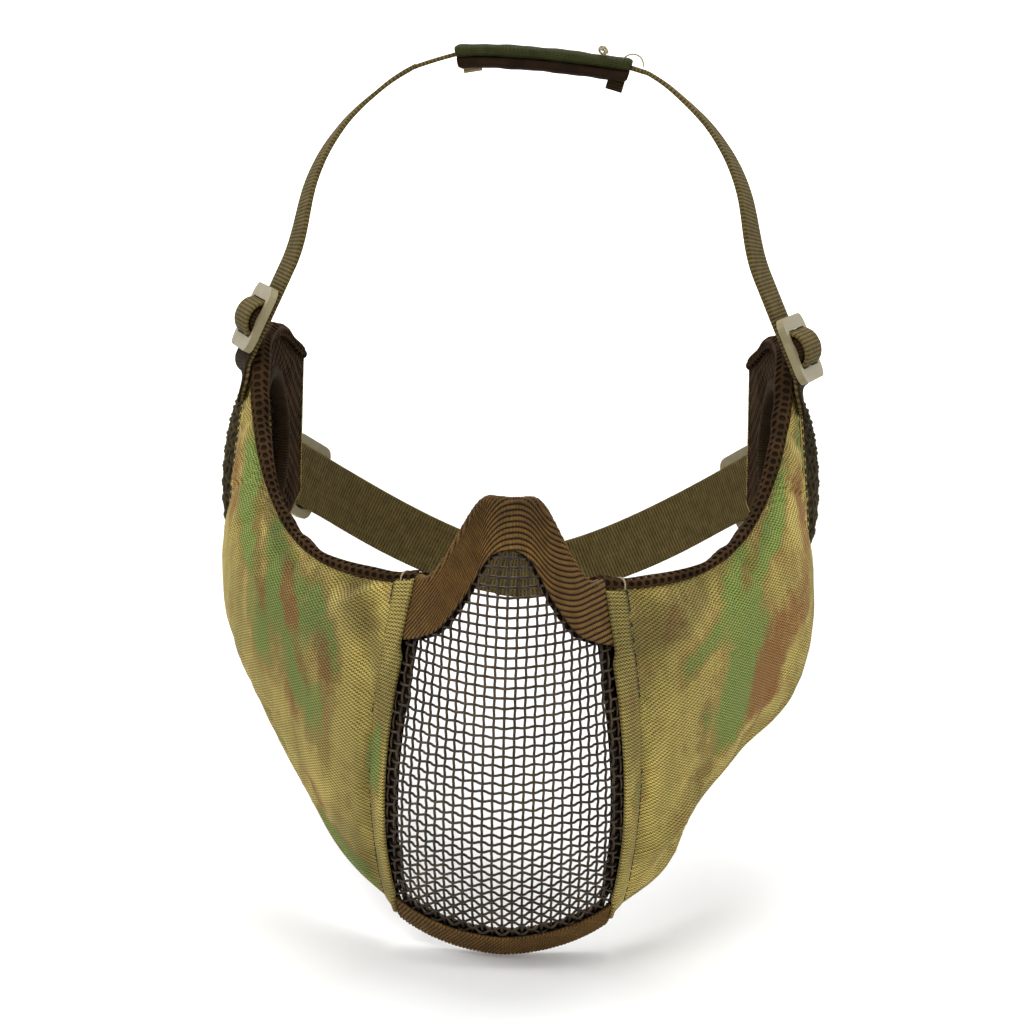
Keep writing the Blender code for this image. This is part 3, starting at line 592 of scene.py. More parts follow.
def spans(mask):
    """Index ranges of a boolean array's unbroken runs of True."""
    edges = np.flatnonzero(np.diff(np.concatenate([[0], mask.astype(int), [0]])))
    return [(a, b) for a, b in zip(edges[::2], edges[1::2]) if b - a > 3]


def face_wires():
    """Crimped wires that cross over and under each other, spaced evenly over the panel."""
    levels = np.linspace(-126 * MM, 26 * MM, 153)
    rs = np.linspace(0, 1, 41)
    grid, _ = panel(rs[None, :], levels[:, None])
    arcs, climb = run_across(grid), run_along(grid[:, 0])
    paths = []

    def r_of(s, z):
        """r for arc distance s from the centre at height z."""
        place = np.interp(z, levels, np.arange(len(levels)))
        k = np.clip(place.astype(int), 0, len(levels) - 2)
        f = place - k
        out = np.empty(len(z))
        for i in range(len(z)):
            row = arcs[k[i]] * (1 - f[i]) + arcs[k[i] + 1] * f[i]
            out[i] = np.interp(abs(s[i]), row, rs)
            if abs(s[i]) > row[-1]:
                out[i] = 9
        return out * np.sign(s + 1e-12)

    def inside(r, z):
        reach = np.minimum(np.abs(r), 1.0)
        low, high = panel_bottom(reach) + 0.5 * MM, panel_top(reach) - 0.5 * MM
        return (np.abs(r) < 0.985) & (z < high) & (z > low)

    def lay(s, z, swing, crossings):
        """A wire through (s, z), cut at the panel's edge; swing is how far its crimps reach."""
        r = r_of(s, z)
        for a, b in spans(inside(r, z)):
            at, normal = panel(r[a:b], z[a:b], swing * crimp(crossings[a:b]))
            paths.append((at, normal, WIRE_RADIUS))

    z = np.arange(levels[0], levels[-1], WIRE_STEP)
    rows = np.interp(z, levels, climb) / ROW_PITCH
    for k in range(-WIRE_COLUMNS, WIRE_COLUMNS + 1):
        lay(np.full(len(z), k * PITCH), z, COLUMN_CRIMP * (1 if k % 2 == 0 else -1), rows)
    s = np.arange(-54 * MM, 54 * MM, WIRE_STEP)
    for j in range(1, int(climb[-1] / ROW_PITCH)):
        height = float(np.interp(j * ROW_PITCH, climb, levels))
        swing = -ROW_CRIMP * (1 if j % 2 == 0 else -1)
        lay(s, np.full(len(s), height), swing, s / PITCH)
    obj = tubes("face_wires", paths, WIRE, 8)
    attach(obj, "face")
    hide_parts("face_wire_panel")


face_wires()

# ------------------------------------------------------------------ bindings of the face panel
def binding(name, rs, leg_of, edge_of, over_dir, rib, samples):
    """Tape folded over the panel's edge.

    rs: columns; leg_of(r): free edge height; edge_of(r): panel edge height;
    over_dir(r, cap): the way past the edge at its points cap;
    rib(u, w, total): cord height from 0 to 1 for run u and distance w from the free edge.
    """
    gap, thick = 0.25 * MM, 0.9 * MM
    inside = 0.85 * MM + gap
    free, edge = leg_of(rs), edge_of(rs)
    share = np.linspace(0, 1, samples)
    z = free[:, None] + (edge - free)[:, None] * share[None, :]
    at, normal = panel(rs[:, None], z)
    cap_at, cap_normal = panel(rs, edge)
    run, climb = run_along(at[:, samples // 2]), run_across(at)
    over = over_dir(rs, cap_at)
    fold = np.linspace(0, np.pi, 13)[1:-1]
    outer = inside + thick
    rings, ws, normals = [], [], []
    for i in range(len(rs)):
        lift = cap_at[i] + over[i] * gap
        curve = [lift + cap_normal[i] * outer * math.cos(a) + over[i] * outer * 0.9 * math.sin(a)
                 for a in fold]
        curve_n = [cap_normal[i] * math.cos(a) + over[i] * math.sin(a) for a in fold]
        back = at[i, ::-1] - normal[i, ::-1] * outer
        rings.append(np.concatenate([at[i] + normal[i] * outer, curve, back]))
        normals.append(np.concatenate([normal[i], curve_n, -normal[i, ::-1]]))
        top = climb[i, -1]
        ws.append(np.concatenate([climb[i], top + fold * outer, top + np.pi * outer + climb[i]]))
    rings, normals, ws = np.array(rings), unit(np.array(normals)), np.array(ws)
    us = np.repeat(run[:, None], rings.shape[1], 1)
    cord = rib(us, ws, run[-1])
    rings = rings + normals * ((cord - 0.55) * 0.62 * MM)[..., None]
    # rounded free edges: the last samples of each leg tuck in
    tuck = np.clip(np.minimum(ws - ws[:, :1], ws[:, -1:] - ws) / (0.7 * MM), 0, 1)
    rings = rings - normals * ((1 - np.sqrt(1 - (1 - tuck) ** 2)) * thick * 0.45)[..., None]
    # the hollow that the panel's edge lies in
    stride = max(1, samples // 5)
    hollow_front = (at + normal * inside)[:, ::stride]
    hollow_back = (at - normal * inside)[:, ::stride]
    rings = np.concatenate([rings, hollow_back, hollow_front[:, ::-1]], 1)
    extra = rings.shape[1] - us.shape[1]
    cord = np.concatenate([cord, np.full((len(rs), extra), 0.3)], 1)
    uv = np.stack([us, ws], -1)
    uv = np.concatenate([uv, np.repeat(uv[:, -1:], extra, 1)], 1)
    return loft(name, rings, BROWN_RIB, uv=uv, values={"cord": cord})


def even_columns(low, high, count, height_of):
    """Columns spaced evenly along the panel's edge rather than evenly in r."""
    rs = np.linspace(low, high, 400)
    at, _ = panel(rs, height_of(rs))
    length = run_along(at)
    return np.interp(np.linspace(0, length[-1], count), length, rs)


# slope of the nose binding's cords at shares of its length, from the right leg's end to the left's
NOSE_CORD_AT = (0, 0.15, 0.3, 0.42, 0.5, 0.6, 0.75, 0.88, 1)
NOSE_CORD_SLOPE = (0.95, 0.8, 0.55, 0.42, 0.25, 0.42, 0.66, 0.56, 0.45)


def nose_rib(u, w, total):
    """Slanting cords, steeper on the right leg than on the left one."""
    t = u / total
    table = np.linspace(0, 1, 200)
    slope = np.interp(table, NOSE_CORD_AT, NOSE_CORD_SLOPE)
    climb = np.cumsum(slope) * total / 200
    lines = (w - np.interp(t, table, climb)) / (1.65 * MM)
    along = u + w * np.interp(t, table, slope)
    strands = 0.9 + 0.1 * np.sin(2 * np.pi * along / (1.1 * MM))
    return np.abs(np.sin(np.pi * lines)) ** 0.85 * strands


def nose_binding():
    rs = even_columns(-0.966, 0.974, 400, lambda r: (panel_top(r) + nose_inner(r)) / 2)
    up = np.array([0, 0.12, 1.0])

    def over(r, cap):
        ahead = unit(np.gradient(cap, axis=0))
        return unit(up - ahead * (ahead @ up)[:, None])

    obj = binding("nose_webbing", rs, nose_inner, panel_top, over, nose_rib, 72)
    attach(obj, "face")
    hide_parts("nose_binding")


def chin_rib(u, w, total):
    """Short cords nearly straight across the tape."""
    ridge = np.abs(np.sin(np.pi * (u + 0.55 * w) / (1.15 * MM))) ** 0.6
    return ridge * (0.92 + 0.08 * np.sin(2 * np.pi * w / (1.2 * MM)))


def chin_binding():
    rs = even_columns(-0.98, 0.98, 264, panel_bottom)

    def over(r, cap):
        below, _ = panel(r, panel_bottom(r) - 1.5 * MM)
        return unit(below - cap)

    leg = lambda r: panel_bottom(r) + CHIN_LEG
    obj = binding("chin_webbing", rs, leg, panel_bottom, over, chin_rib, 30)
    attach(obj, "face")
    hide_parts("chin_binding")


nose_binding()
chin_binding()

# ------------------------------------------------------------------ sewing
STITCH = 1.9 * MM


def stitches(name, points, normals, body, pitch=2.6 * MM, radius=0.2 * MM):
    """A row of thread stitches along points that lie on a surface."""
    run = run_along(points)
    paths = []
    for k in range(int(run[-1] / pitch)):
        a = k * pitch + 0.3 * MM
        t = np.linspace(a, a + STITCH, 7)
        at, up = rows_at(t, run, points), unit(rows_at(t, run, normals))
        rise = np.sin(np.linspace(0, np.pi, 7)) * 0.22 * MM - 0.12 * MM
        paths.append((at + up * rise[:, None], up, radius))
    obj = tubes(name, paths, DARK_THREAD, 5)
    if body:
        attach(obj, body)
    return obj


# ------------------------------------------------------------------ camo masks
# soft blotches: side, station, height, long and short radius in mm, turn in degrees, amount.
# a station is about 17 mm long, and the wing is about 92 mm high
STATION_MM, HEIGHT_MM = 17, 92
GREENS = (
    (1, 3.7, 0.92, 17, 6, 25, 0.95),
    (1, 2.6, 0.83, 17, 7, 55, 0.95),
    (1, 2.35, 0.52, 19, 10, 82, 1.0),
    (1, 1.8, 0.76, 10, 4, 35, 0.85),
    (1, 5.5, 0.86, 14, 5, 60, 0.9),
    (1, 4.9, 0.10, 13, 8, 20, 0.9),
    (1, 8.5, 0.70, 8, 14, 10, 0.9),
    (1, 0.35, 0.42, 4, 3, 60, 0.6),
    (-1, 4.0, 0.86, 17, 7, 48, 0.95),
    (-1, 3.0, 0.60, 13, 5, 70, 0.8),
    (-1, 2.6, 0.84, 19, 8, 50, 0.95),
    (-1, 2.0, 0.58, 14, 8, 72, 1.0),
    (-1, 1.6, 0.80, 13, 5, 60, 0.85),
    (-1, 1.1, 0.06, 9, 6, 10, 1.0),
    (-1, 5.6, 0.78, 10, 5, 80, 0.85),
    (-1, 0.3, 0.50, 9, 3, 88, 0.8),
    (-1, 5.0, 0.12, 14, 7, 15, 0.85),
    (-1, 8.4, 0.30, 9, 12, 0, 0.9),
    (-1, 2.9, 0.12, 7, 5, 30, 0.7),
)
RUSTS = (
    (1, 3.35, 0.44, 22, 10, 72, 1.0),
    (1, 4.4, 0.70, 17, 7, 60, 0.95),
    (1, 2.9, 0.90, 9, 3, 40, 0.6),
    (1, 1.35, 0.90, 8, 4, 50, 0.6),
    (1, 1.6, 0.13, 7, 4, 60, 0.75),
    (1, 2.05, 0.22, 6, 4, 20, 0.6),
    (1, 5.4, 0.55, 12, 6, 90, 0.85),
    (1, 8.5, 0.25, 8, 10, 0, 0.8),
    (-1, 4.8, 0.80, 13, 5, 62, 0.85),
    (-1, 3.3, 0.78, 14, 3.5, 60, 0.7),
    (-1, 2.35, 0.80, 13, 3.5, 62, 0.85),
    (-1, 1.95, 0.64, 10, 3.5, 64, 0.8),
    (-1, 1.45, 0.70, 10, 3.5, 70, 0.7),
    (-1, 2.2, 0.46, 8, 4, 60, 0.6),
    (-1, 1.6, 0.20, 6, 4, 60, 0.75),
    (-1, 3.6, 0.12, 9, 4, 30, 0.6),
    (-1, 8.4, 0.75, 8, 9, 0, 0.8),
)
# DARKS: darker print together with painted shade, mostly along the seams; they darken the cloth
# through its shade value
DARKS = (
    (-1, 1.0, 0.88, 13, 6, 55, 0.85),
    (-1, 1.5, 0.80, 20, 9, 60, 0.45),
    (-1, 1.1, 0.62, 13, 7, 85, 0.4),
    (-1, 0.85, 0.16, 9, 6, 60, 0.45),
    (-1, 0.25, 0.85, 22, 6, 90, 0.45),
    (1, 1.05, 0.88, 14, 6, 20, 0.75),
    (1, 0.85, 0.70, 14, 5, 85, 0.5),
    (1, 1.4, 0.28, 11, 5, 50, 0.35),
    (1, 0.25, 0.80, 26, 6, 90, 0.5),
    (-1, 3.2, 0.94, 14, 4, 20, 0.5),
    (-1, 0.8, 0.50, 24, 7, 88, 0.45),
    (-1, 2.3, 0.62, 24, 11, 66, 0.30),
    (1, 1.3, 0.60, 20, 8, 78, 0.28),
    (1, 3.6, 0.97, 12, 4, 30, 0.4),
)


def fractal(points, scale, offset):
    points = np.round(points, 5)
    return np.array([noise.fractal(Vector(p * scale + offset), 0.9, 2.0, 4) for p in points])


def blotches(table, side, s, v, wobble):
    """How strongly a table's blotches cover each place, from 0 to 1."""
    total = np.zeros(len(s))
    for which, cs, cv, long, short, turn, amount in table:
        if which != side:
            continue
        x, y = (s - cs) * STATION_MM, (v - cv) * HEIGHT_MM
        c, k = math.cos(math.radians(turn)), math.sin(math.radians(turn))
        d = np.hypot((x * c + y * k) / long, (y * c - x * k) / short) + wobble
        total = np.maximum(total, amount * smooth(1.40 - d * 0.80))
    return total


def camo_values(side, s, v, points):
    """Green and rust masks for places on a wing, and a shade value that darkens each place: partly
    darker print, partly painted shade, mostly near the seams.
    """
    a = fractal(points, 38.0, np.array([3.1 * side, 7.7, 1.3]))
    b = fractal(points, 41.0, np.array([11.0, 2.9 * side, 5.1]))
    green = blotches(GREENS, side, s, v, a * 0.55)
    rust = blotches(RUSTS, side, s, v, b * 0.55)
    return {"green": green, "rust": rust, "shade": 1 - 0.7 * blotches(DARKS, side, s, v, a * 0.5)}


# ------------------------------------------------------------------ wing covers
THIN, THICK = 2.7 * MM, 5.6 * MM


def padding(s, v):
    """Thickness of the whole wing at a place, thin along its edges."""
    edge = np.minimum(v, 1 - v) / 0.14
    reach = np.minimum(edge, np.minimum((s - WING_START) / 0.9, (WING_END - s) / 0.9))
    return THIN + (THICK - THIN) * smooth(reach)


def ear_distance(s, v):
    """Distance from the middle of the ear opening, 1 on its rim."""
    return np.hypot((s - EAR_STATION) / EAR_STATIONS_HALF, (v - EAR_V) / EAR_V_HALF)


def wing_layout(columns, rows, ear_columns, rings):
    """Places (station, v) over a wing with its ear opening, and the quads between them."""
    points, index, quads = [], {}, []

    def vert(s, v):
        key = (round(s, 6), round(v, 6))
        if key not in index:
            index[key] = len(points)
            points.append((s, v))
        return index[key]

    # a plain grid in front of the ear opening, and rings round the opening
    cols = np.linspace(WING_START, BLOCK_STATION, columns + 1)
    levels = np.linspace(0, 1, rows + 1)
    for i in range(columns):
        for j in range(rows):
            corners = ((i, j), (i + 1, j), (i + 1, j + 1), (i, j + 1))
            quads.append([vert(cols[a], levels[b]) for a, b in corners])
    backs = np.linspace(BLOCK_STATION, WING_END, ear_columns + 1)
    outer = [(s, 0.0) for s in backs[:-1]] + [(WING_END, v) for v in levels[:-1]]
    outer += [(s, 1.0) for s in backs[:0:-1]] + [(BLOCK_STATION, v) for v in levels[:0:-1]]
    ellipse = []
    for s, v in outer:
        angle = math.atan2((v - EAR_V) / EAR_V_HALF, (s - EAR_STATION) / EAR_STATIONS_HALF)
        ellipse.append((EAR_STATION + EAR_STATIONS_HALF * math.cos(angle),
                        EAR_V + EAR_V_HALF * math.sin(angle)))
    n = len(outer)
    for ring in range(rings):
        f0, f1 = ring / rings, (ring + 1) / rings
        for k in range(n):
            corner = []
            for kk, f in ((k, f0), (k, f1), ((k + 1) % n, f1), ((k + 1) % n, f0)):
                a, b = ellipse[kk], outer[kk]
                corner.append(vert(a[0] + (b[0] - a[0]) * f, a[1] + (b[1] - a[1]) * f))
            quads.append(corner)
    places = np.array(points)
    return places[:, 0], places[:, 1], quads


CLOTH = {
    "quality": 6,
    "mass": 0.25,
    "air_damping": 4,
    "tension_stiffness": 6.0,
    "compression_stiffness": 6.0,
    "shear_stiffness": 2.4,
    "bending_stiffness": 0.12,
    "vertex_group_mass": "pinned",
    "pin_stiffness": 1.0,
    "shrink_min": -0.035,
    "use_pressure": True,
    "uniform_pressure_force": 3.0,
}


def swell(obj, pinned):
    """How far Blender's cloth moves a sheet, taut between its pinned edges and puffed out."""
    scale, frames = 10.0, 22
    mesh = obj.data
    count = len(mesh.vertices)
    co = np.empty(count * 3)
    mesh.vertices.foreach_get("co", co)
    mesh.vertices.foreach_set("co", co * scale)
    group = obj.vertex_groups.new(name="pinned")
    pinned = np.round(pinned, 2)
    for weight in np.unique(pinned[pinned > 0]):
        members = np.flatnonzero(pinned == weight)
        group.add([int(m) for m in members], float(weight), "REPLACE")
    cloth = obj.modifiers.new("Cloth", "CLOTH")
    for key, value in CLOTH.items():
        setattr(cloth.settings, key, value)
    cloth.settings.effector_weights.gravity = 0
    cloth.collision_settings.use_collision = False
    cloth.point_cache.frame_start = 1
    cloth.point_cache.frame_end = frames
    for step in range(1, frames + 1):
        bpy.context.scene.frame_set(step)
    depsgraph = bpy.context.evaluated_depsgraph_get()
    done = obj.evaluated_get(depsgraph).to_mesh()
    out = np.empty(count * 3)
    done.vertices.foreach_get("co", out)
    obj.modifiers.clear()
    obj.vertex_groups.clear()
    bpy.context.scene.frame_set(1)
    return (out.reshape(-1, 3) - co.reshape(-1, 3) * scale) / scale


# creases: side, station and height of both ends, half-width and rise in mm.
# their widths are measured with stations of 15 mm
CREASE_STATION_MM = 15
CREASES = (
    (-1, 0.60, 1.02, 1.35, 0.90, 2.2, 2.7),
    (-1, 0.85, 0.92, 0.74, 0.66, 3.4, -2.2),
    (-1, 1.05, 1.01, 1.65, 0.95, 2.6, -1.7),
    (-1, 1.5, 0.90, 1.3, 0.45, 6.0, 0.7),
    (-1, 2.6, 1.0, 2.9, 0.75, 5.0, -0.6),
    (-1, 1.0, 0.10, 2.3, 0.22, 4.0, -0.7),
    (1, 0.80, 0.99, 0.74, 0.55, 3.4, -1.7),
    (1, 0.95, 0.20, 2.7, 0.31, 4.2, 1.9),
    (1, 0.90, 0.10, 2.6, 0.20, 3.6, -1.9),
    (1, 1.9, 1.0, 2.3, 0.78, 4.0, -0.7),
    (1, 1.4, 0.98, 1.5, 0.7, 4.0, 0.6),
    (1, 3.3, 0.30, 4.6, 0.40, 5.0, -0.8),
)


def puckers(side, s, v, at):
    """Listed creases and soft unevenness of the cover, in metres along its normal."""
    depth = np.zeros(len(s))
    size = np.array([CREASE_STATION_MM, HEIGHT_MM])
    x, y = s * CREASE_STATION_MM, v * HEIGHT_MM
    for which, s0, v0, s1, v1, wide, rise in CREASES:
        if which != side:
            continue
        a = np.array([s0, v0]) * size
        way = np.array([s1, v1]) * size - a
        along = np.clip(((x - a[0]) * way[0] + (y - a[1]) * way[1]) / (way @ way), -0.3, 1.3)
        away = np.hypot(x - a[0] - way[0] * along, y - a[1] - way[1] * along)
        fade = smooth((along + 0.3) / 0.45) * smooth((1.3 - along) / 0.7)
        depth += rise * np.exp(-((away / wide) ** 2)) * fade
    # small puckers along the seam, the top edge and the lower edge, then slow unevenness
    for far, swing, ripple in (
        ((s - 0.6) / 0.45, 0.20, v * 88 + 3 * np.sin(v * 21 + side)),
        ((1 - v) / 0.07, 0.18, s * 15 + 2 * np.sin(s * 5 + side)),
        (v / 0.06, 0.16, s * 15 + 2 * np.sin(s * 4 - side)),
    ):
        depth += swing * np.exp(-(far**2)) * np.sin(ripple)
    depth += 0.9 * fractal(at, 24.0, np.array([5.0 * side, 1.0, 2.0]))
    return depth * MM


def wing_cover(side, name):
    """The wing's camo cloth: swollen, creased, and turned in at its lower and rear edges."""
    s, v, quads = wing_layout(columns=64, rows=56, ear_columns=40, rings=12)
    at, normal = wing(side, s, v)
    obj = build(f"{name}_wing_cover", at, quads, CAMO)
    edge = np.minimum.reduce([v / 0.035, (1 - v) / 0.035, (s - WING_START) / 0.30,
                              (WING_END - s) / 0.15, (ear_distance(s, v) - 1.0) / 0.14])
    pinned = np.clip(1 - np.maximum(edge, 0), 0, 1)
    pinned[edge > 0.6] = 0
    orient(obj)
    outward = np.sum(swell(obj, pinned) * normal, 1)
    outward = np.where(np.isfinite(outward), outward, 0)
    if np.mean(outward) < 0:
        outward = -outward
    lift = np.clip(outward, -0.4 * MM, 3.2 * MM)
    lift = lift + puckers(side, s, v, at) * smooth(np.clip(edge, 0, 1))
    at = at + normal * lift[:, None]
    bpy.data.objects.remove(obj)
    # the cloth's lower and rear edges turn in round the padding
    low_edge, rear_edge = v < 1e-6, s > WING_END - 1e-6
    border = sorted(np.flatnonzero(low_edge).tolist(), key=lambda k: s[k])
    border += sorted(np.flatnonzero(rear_edge & (v > 1e-6)).tolist(), key=lambda k: v[k])
    thick = padding(s[border], v[border]) * 0.5
    base = wing(side, s[border], v[border])[0]
    down = unit(base - wing(side, s[border], v[border] + 0.02)[0])
    backward = unit(base - wing(side, s[border] - 0.1, v[border])[0])
    away = np.where(low_edge[border][:, None], down, backward)
    corner = (low_edge & rear_edge)[border]
    away[corner] = unit(down + backward)[corner]
    faces, verts, uvs = list(quads), [at], [wing_uv(s, v)]
    count, chain = len(s), border
    turns = np.linspace(0, np.pi, 8)[1:]
    for a in turns:
        turned = at[border] - normal[border] * thick[:, None] * (1 - math.cos(a))
        verts.append(turned + away * thick[:, None] * math.sin(a))
        uvs.append(uvs[0][border] - np.outer(a * thick, (0, 1)))
        ring = list(range(count, count + len(border)))
        faces += [[chain[i], ring[i], ring[i + 1], chain[i + 1]] for i in range(len(border) - 1)]
        count, chain = count + len(border), ring
    values = {key: np.concatenate([row] + [row[border]] * len(turns))
              for key, row in camo_values(side, s, v, at).items()}
    verts, uvs = np.concatenate(verts), np.concatenate(uvs)
    obj = build(f"{name}_wing_cover", verts, faces, CAMO, uvs, values)
    orient(obj)
    thicken(obj, 0.45 * MM, -1)
    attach(obj, f"{name}_wing")
    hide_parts(f"{name}_wing_shell")


for side, name in SIDES:
    wing_cover(side, name)


def seam_plain(side, t, z):
    """Across a seam at height z: t is -1 on the panel, 0 at the seam and 1 on the wing."""
    on_panel, n_panel = panel(side * (1 + 0.14 * np.minimum(t, 0)), z)
    v = (z - SEAM_BOTTOM_Z) / (SEAM_TOP_Z - SEAM_BOTTOM_Z)
    on_wing, n_wing = wing(side, 0.7 * np.maximum(t, 0), v)
    pick = (t < 0)[..., None]
    return np.where(pick, on_panel, on_wing), np.where(pick, n_panel, n_wing)


def seam(side, t, z):
    """The same with its bend rounded off."""
    t, z = np.broadcast_arrays(np.asarray(t, float), np.asarray(z, float))
    total, facing = 0, 0
    for shift, weight in ((-0.22, 0.2), (0.0, 0.6), (0.22, 0.2)):
        at, normal = seam_plain(side, t + shift, z)
        total = total + at * weight
        facing = facing + normal * weight
    return total, unit(facing)


def seam_blend(piece):
    """Bakes a piece's placement into its mesh; it is not joined to the face or to its wing."""
    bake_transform(piece)


def strip_outer(z):
    """How far the strip reaches onto the wing, as t, at height z."""
    return np.interp(z, [-113 * MM, -85 * MM, -50 * MM, -7 * MM], [0.50, 0.46, 0.66, 0.76])


def seam_strip(side, name):
    """The folded camo strip over a seam, and its row of stitches."""
    zs = np.linspace(SEAM_TOP_Z + (-1.5 if side > 0 else 0.3) * MM, SEAM_BOTTOM_Z + 1.2 * MM, 190)
    share = np.linspace(0, 1, 21)
    t_in = -0.24 - 0.06 * smooth((zs + 40 * MM) / (12 * MM))
    t = t_in[:, None] + (strip_outer(zs) - t_in)[:, None] * share[None, :]
    at, normal = seam(side, t, zs[:, None])
    # heights of the fold's under side and top in mm; it lies over both bindings at its ends
    lift = smooth((zs + 29 * MM) / (4 * MM)) + smooth((-104 * MM - zs) / (4 * MM))
    low = 0.95 + 1.35 * lift[:, None] * smooth((0.42 - share) / 0.3)[None, :]
    low = low - 0.65 * smooth(share / 0.7)[None, :]
    wave = 1 + (0.10 * np.sin(zs / (7 * MM) + side) + 0.07 * np.sin(zs / (2.9 * MM)))[:, None]
    puff = 1.55 * np.sin(np.pi * np.clip(share * 0.93 + 0.045, 0, 1)) ** 0.62
    high = low + 0.25 + puff[None, :] * wave
    taper = np.minimum(1, np.minimum(zs[0] - zs, zs - zs[-1]) / (1.2 * MM))
    high = low + (high - low) * (0.25 + 0.75 * np.sqrt(np.maximum(taper, 0)))[:, None]
    top = at + normal * (high * MM)[..., None]
    under = at + normal * (low * MM)[..., None]
    rings = np.concatenate([top, under[:, ::-1]], 1)
    both = np.concatenate([share, share[::-1]])
    spots = np.repeat(both[None, :], len(zs), 0)
    v = (zs - SEAM_BOTTOM_Z) / (SEAM_TOP_Z - SEAM_BOTTOM_Z)
    heights = np.repeat(v[:, None], len(both), 1)
    values = camo_values(side, spots.ravel() * 0.5, heights.ravel(), rings.reshape(-1, 3))
    # painted shade: darker along the stitch groove at the strip's outer edge and along its inner
    # edge by the mesh; the whole strip is also made 0.88 as bright
    edges = 1 - 0.5 * smooth((spots - 0.86) / 0.12) - 0.35 * smooth((0.07 - spots) / 0.07)
    values["shade"] = 0.88 * edges.ravel() * values["shade"]
    uv = pairs(zs, both * 6.4 * MM)[..., ::-1]
    obj = loft(f"{name}_seam_fold", rings, CAMO, uv=uv, values=values)
    seam_blend(obj)
    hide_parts(f"{name}_seam_strip")
    # the row of dark stitches in the groove beside the strip
    zs = np.linspace(SEAM_TOP_Z - 1 * MM, SEAM_BOTTOM_Z + 1.5 * MM, 160)
    t = strip_outer(zs) + 0.015
    at, normal = seam(side, t, zs)
    made = stitches(f"{name}_seam_stitches", at + normal * 0.75 * MM, normal, None,
                    2.3 * MM, 0.24 * MM)
    seam_blend(made)


def seam_tape(side, name):
    """Dark tape over the seam on the inner side."""
    zs = np.linspace(-22 * MM, -105 * MM, 90)
    share = np.linspace(0, 1, 13)
    at, normal = seam(side, (-0.85 + 1.35 * share)[None, :], zs[:, None])
    depth = -1.0 - 1.9 * smooth((share - 0.45) / 0.4)
    thick = 0.55 + 0.3 * np.sin(np.pi * share)
    near = at + normal * (depth * MM)[None, :, None]
    far = at + normal * ((depth - thick) * MM)[None, :, None]
    rings = np.concatenate([near, far[:, ::-1]], 1)
    uv = pairs(zs, np.concatenate([share, share[::-1]]) * 11 * MM)
    obj = loft(f"{name}_inner_seam_tape", rings, DARK_TAPE, uv=uv)
    seam_blend(obj)
    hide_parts(f"{name}_panel_edge_tape")


# ------------------------------------------------------------------ spacer mesh
HOLE_PITCH = 2.9 * MM
HEX_STEP = 0.866


def honeycomb(name, surface, cells, pitch, mat, wall=0.30, depth=0.55 * MM, wrap=None):
    """A net of six-sided holes with walls of a share of their size.

    cells are centres (u, w); surface turns (u, w) into points; w starts again at wrap.
    """
    reach = pitch / math.sqrt(3)
    angles = np.radians(np.arange(6) * 60 + 30)
    outer = np.stack([np.cos(angles), np.sin(angles)], 1) * reach
    inner = outer * (1 - wall)
    flat, index, faces = [], {}, []
    near = 0.12 * pitch

    def vert(p):
        key = (round(p[0] / near), round((p[1] % wrap if wrap else p[1]) / near))
        for dx in (0, -1, 1):
            for dy in (0, -1, 1):
                found = index.get((key[0] + dx, key[1] + dy))
                if found is not None:
                    return found
        index[key] = len(flat)
        flat.append(p)
        return index[key]

    for cell in cells:
        rim = [vert(tuple(cell + o)) for o in outer]
        base = len(flat)
        flat.extend(tuple(cell + i) for i in inner)
        for k in range(6):
            j = (k + 1) % 6
            faces.append([rim[k], rim[j], base + j, base + k])
    obj = build(name, surface(np.array(flat)), faces, mat)
    thicken(obj, depth, 0)
    return obj


def hex_grid(low, high, rows, pitch):
    """Centres of staggered cells, with u from low to high."""
    count = int((high - low) / pitch) + 1
    return np.array([(low + (i + 0.5 * (j % 2)) * pitch, j * (pitch * HEX_STEP))
                     for j in range(rows) for i in range(count)])


def wing_lining(side, name):
    """Spacer mesh on the wing's inner side, with the closed knit face behind its holes."""

    def surface(flat):
        s, v = wing_from_uv(flat[:, 0], flat[:, 1])
        over = (np.maximum(v - 1, 0) + np.minimum(v, 0))[:, None]
        at, normal = wing(side, s, np.clip(v, 0, 1))
        up = wing(side, s, np.ones(len(s)))[0] - wing(side, s, np.zeros(len(s)))[0]
        return at + up * over - normal * (padding(s, np.clip(v, 0, 1)) - 0.1 * MM)[:, None]

    rows = int(122 * MM / (HOLE_PITCH * HEX_STEP)) + 1
    cells = hex_grid(WING_RUN[2], WING_RUN[-3], rows, HOLE_PITCH)
    s, v = wing_from_uv(cells[:, 0], cells[:, 1])
    keep = (s > 0.30) & (s < 8.93) & (v > 0.015) & (v < 0.985) & (ear_distance(s, v) > 1.035)
    net = honeycomb(f"{name}_lining_net", surface, cells[keep], HOLE_PITCH, SPACER)
    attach(net, f"{name}_wing")
    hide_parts(f"{name}_wing_lining")
    s, v, quads = wing_layout(columns=30, rows=30, ear_columns=22, rings=6)
    at, normal = wing(side, s, v)
    at = at - normal * (padding(s, v) - 0.45 * MM)[:, None]
    back = build(f"{name}_lining_backing", at, quads, BACKING)
    orient(back)
    thicken(back, 0.5 * MM, 0)
    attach(back, f"{name}_wing")
    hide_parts(f"{name}_wing_foam")


def roll_path(side):
    """A wing's top edge with its outward and upward directions, stations and lengths."""
    t = np.linspace(-0.46, 0.2, 12)[:-1]
    front, n_front = seam(side, t, np.full(len(t), SEAM_TOP_Z))
    s = np.linspace(WING_START, 8.97, 220)
    rear, n_rear = wing(side, s, np.ones(len(s)))
    edge = np.concatenate([front, rear])
    out = unit(np.concatenate([n_front, n_rear]))
    below = wing(side, s, np.full(len(s), 0.97))[0]
    up = unit(rear - below)
    up = np.concatenate([np.repeat(up[:1], len(front), 0), up])
    return edge, out, up, np.concatenate([0.7 * t, s]), run_along(edge)


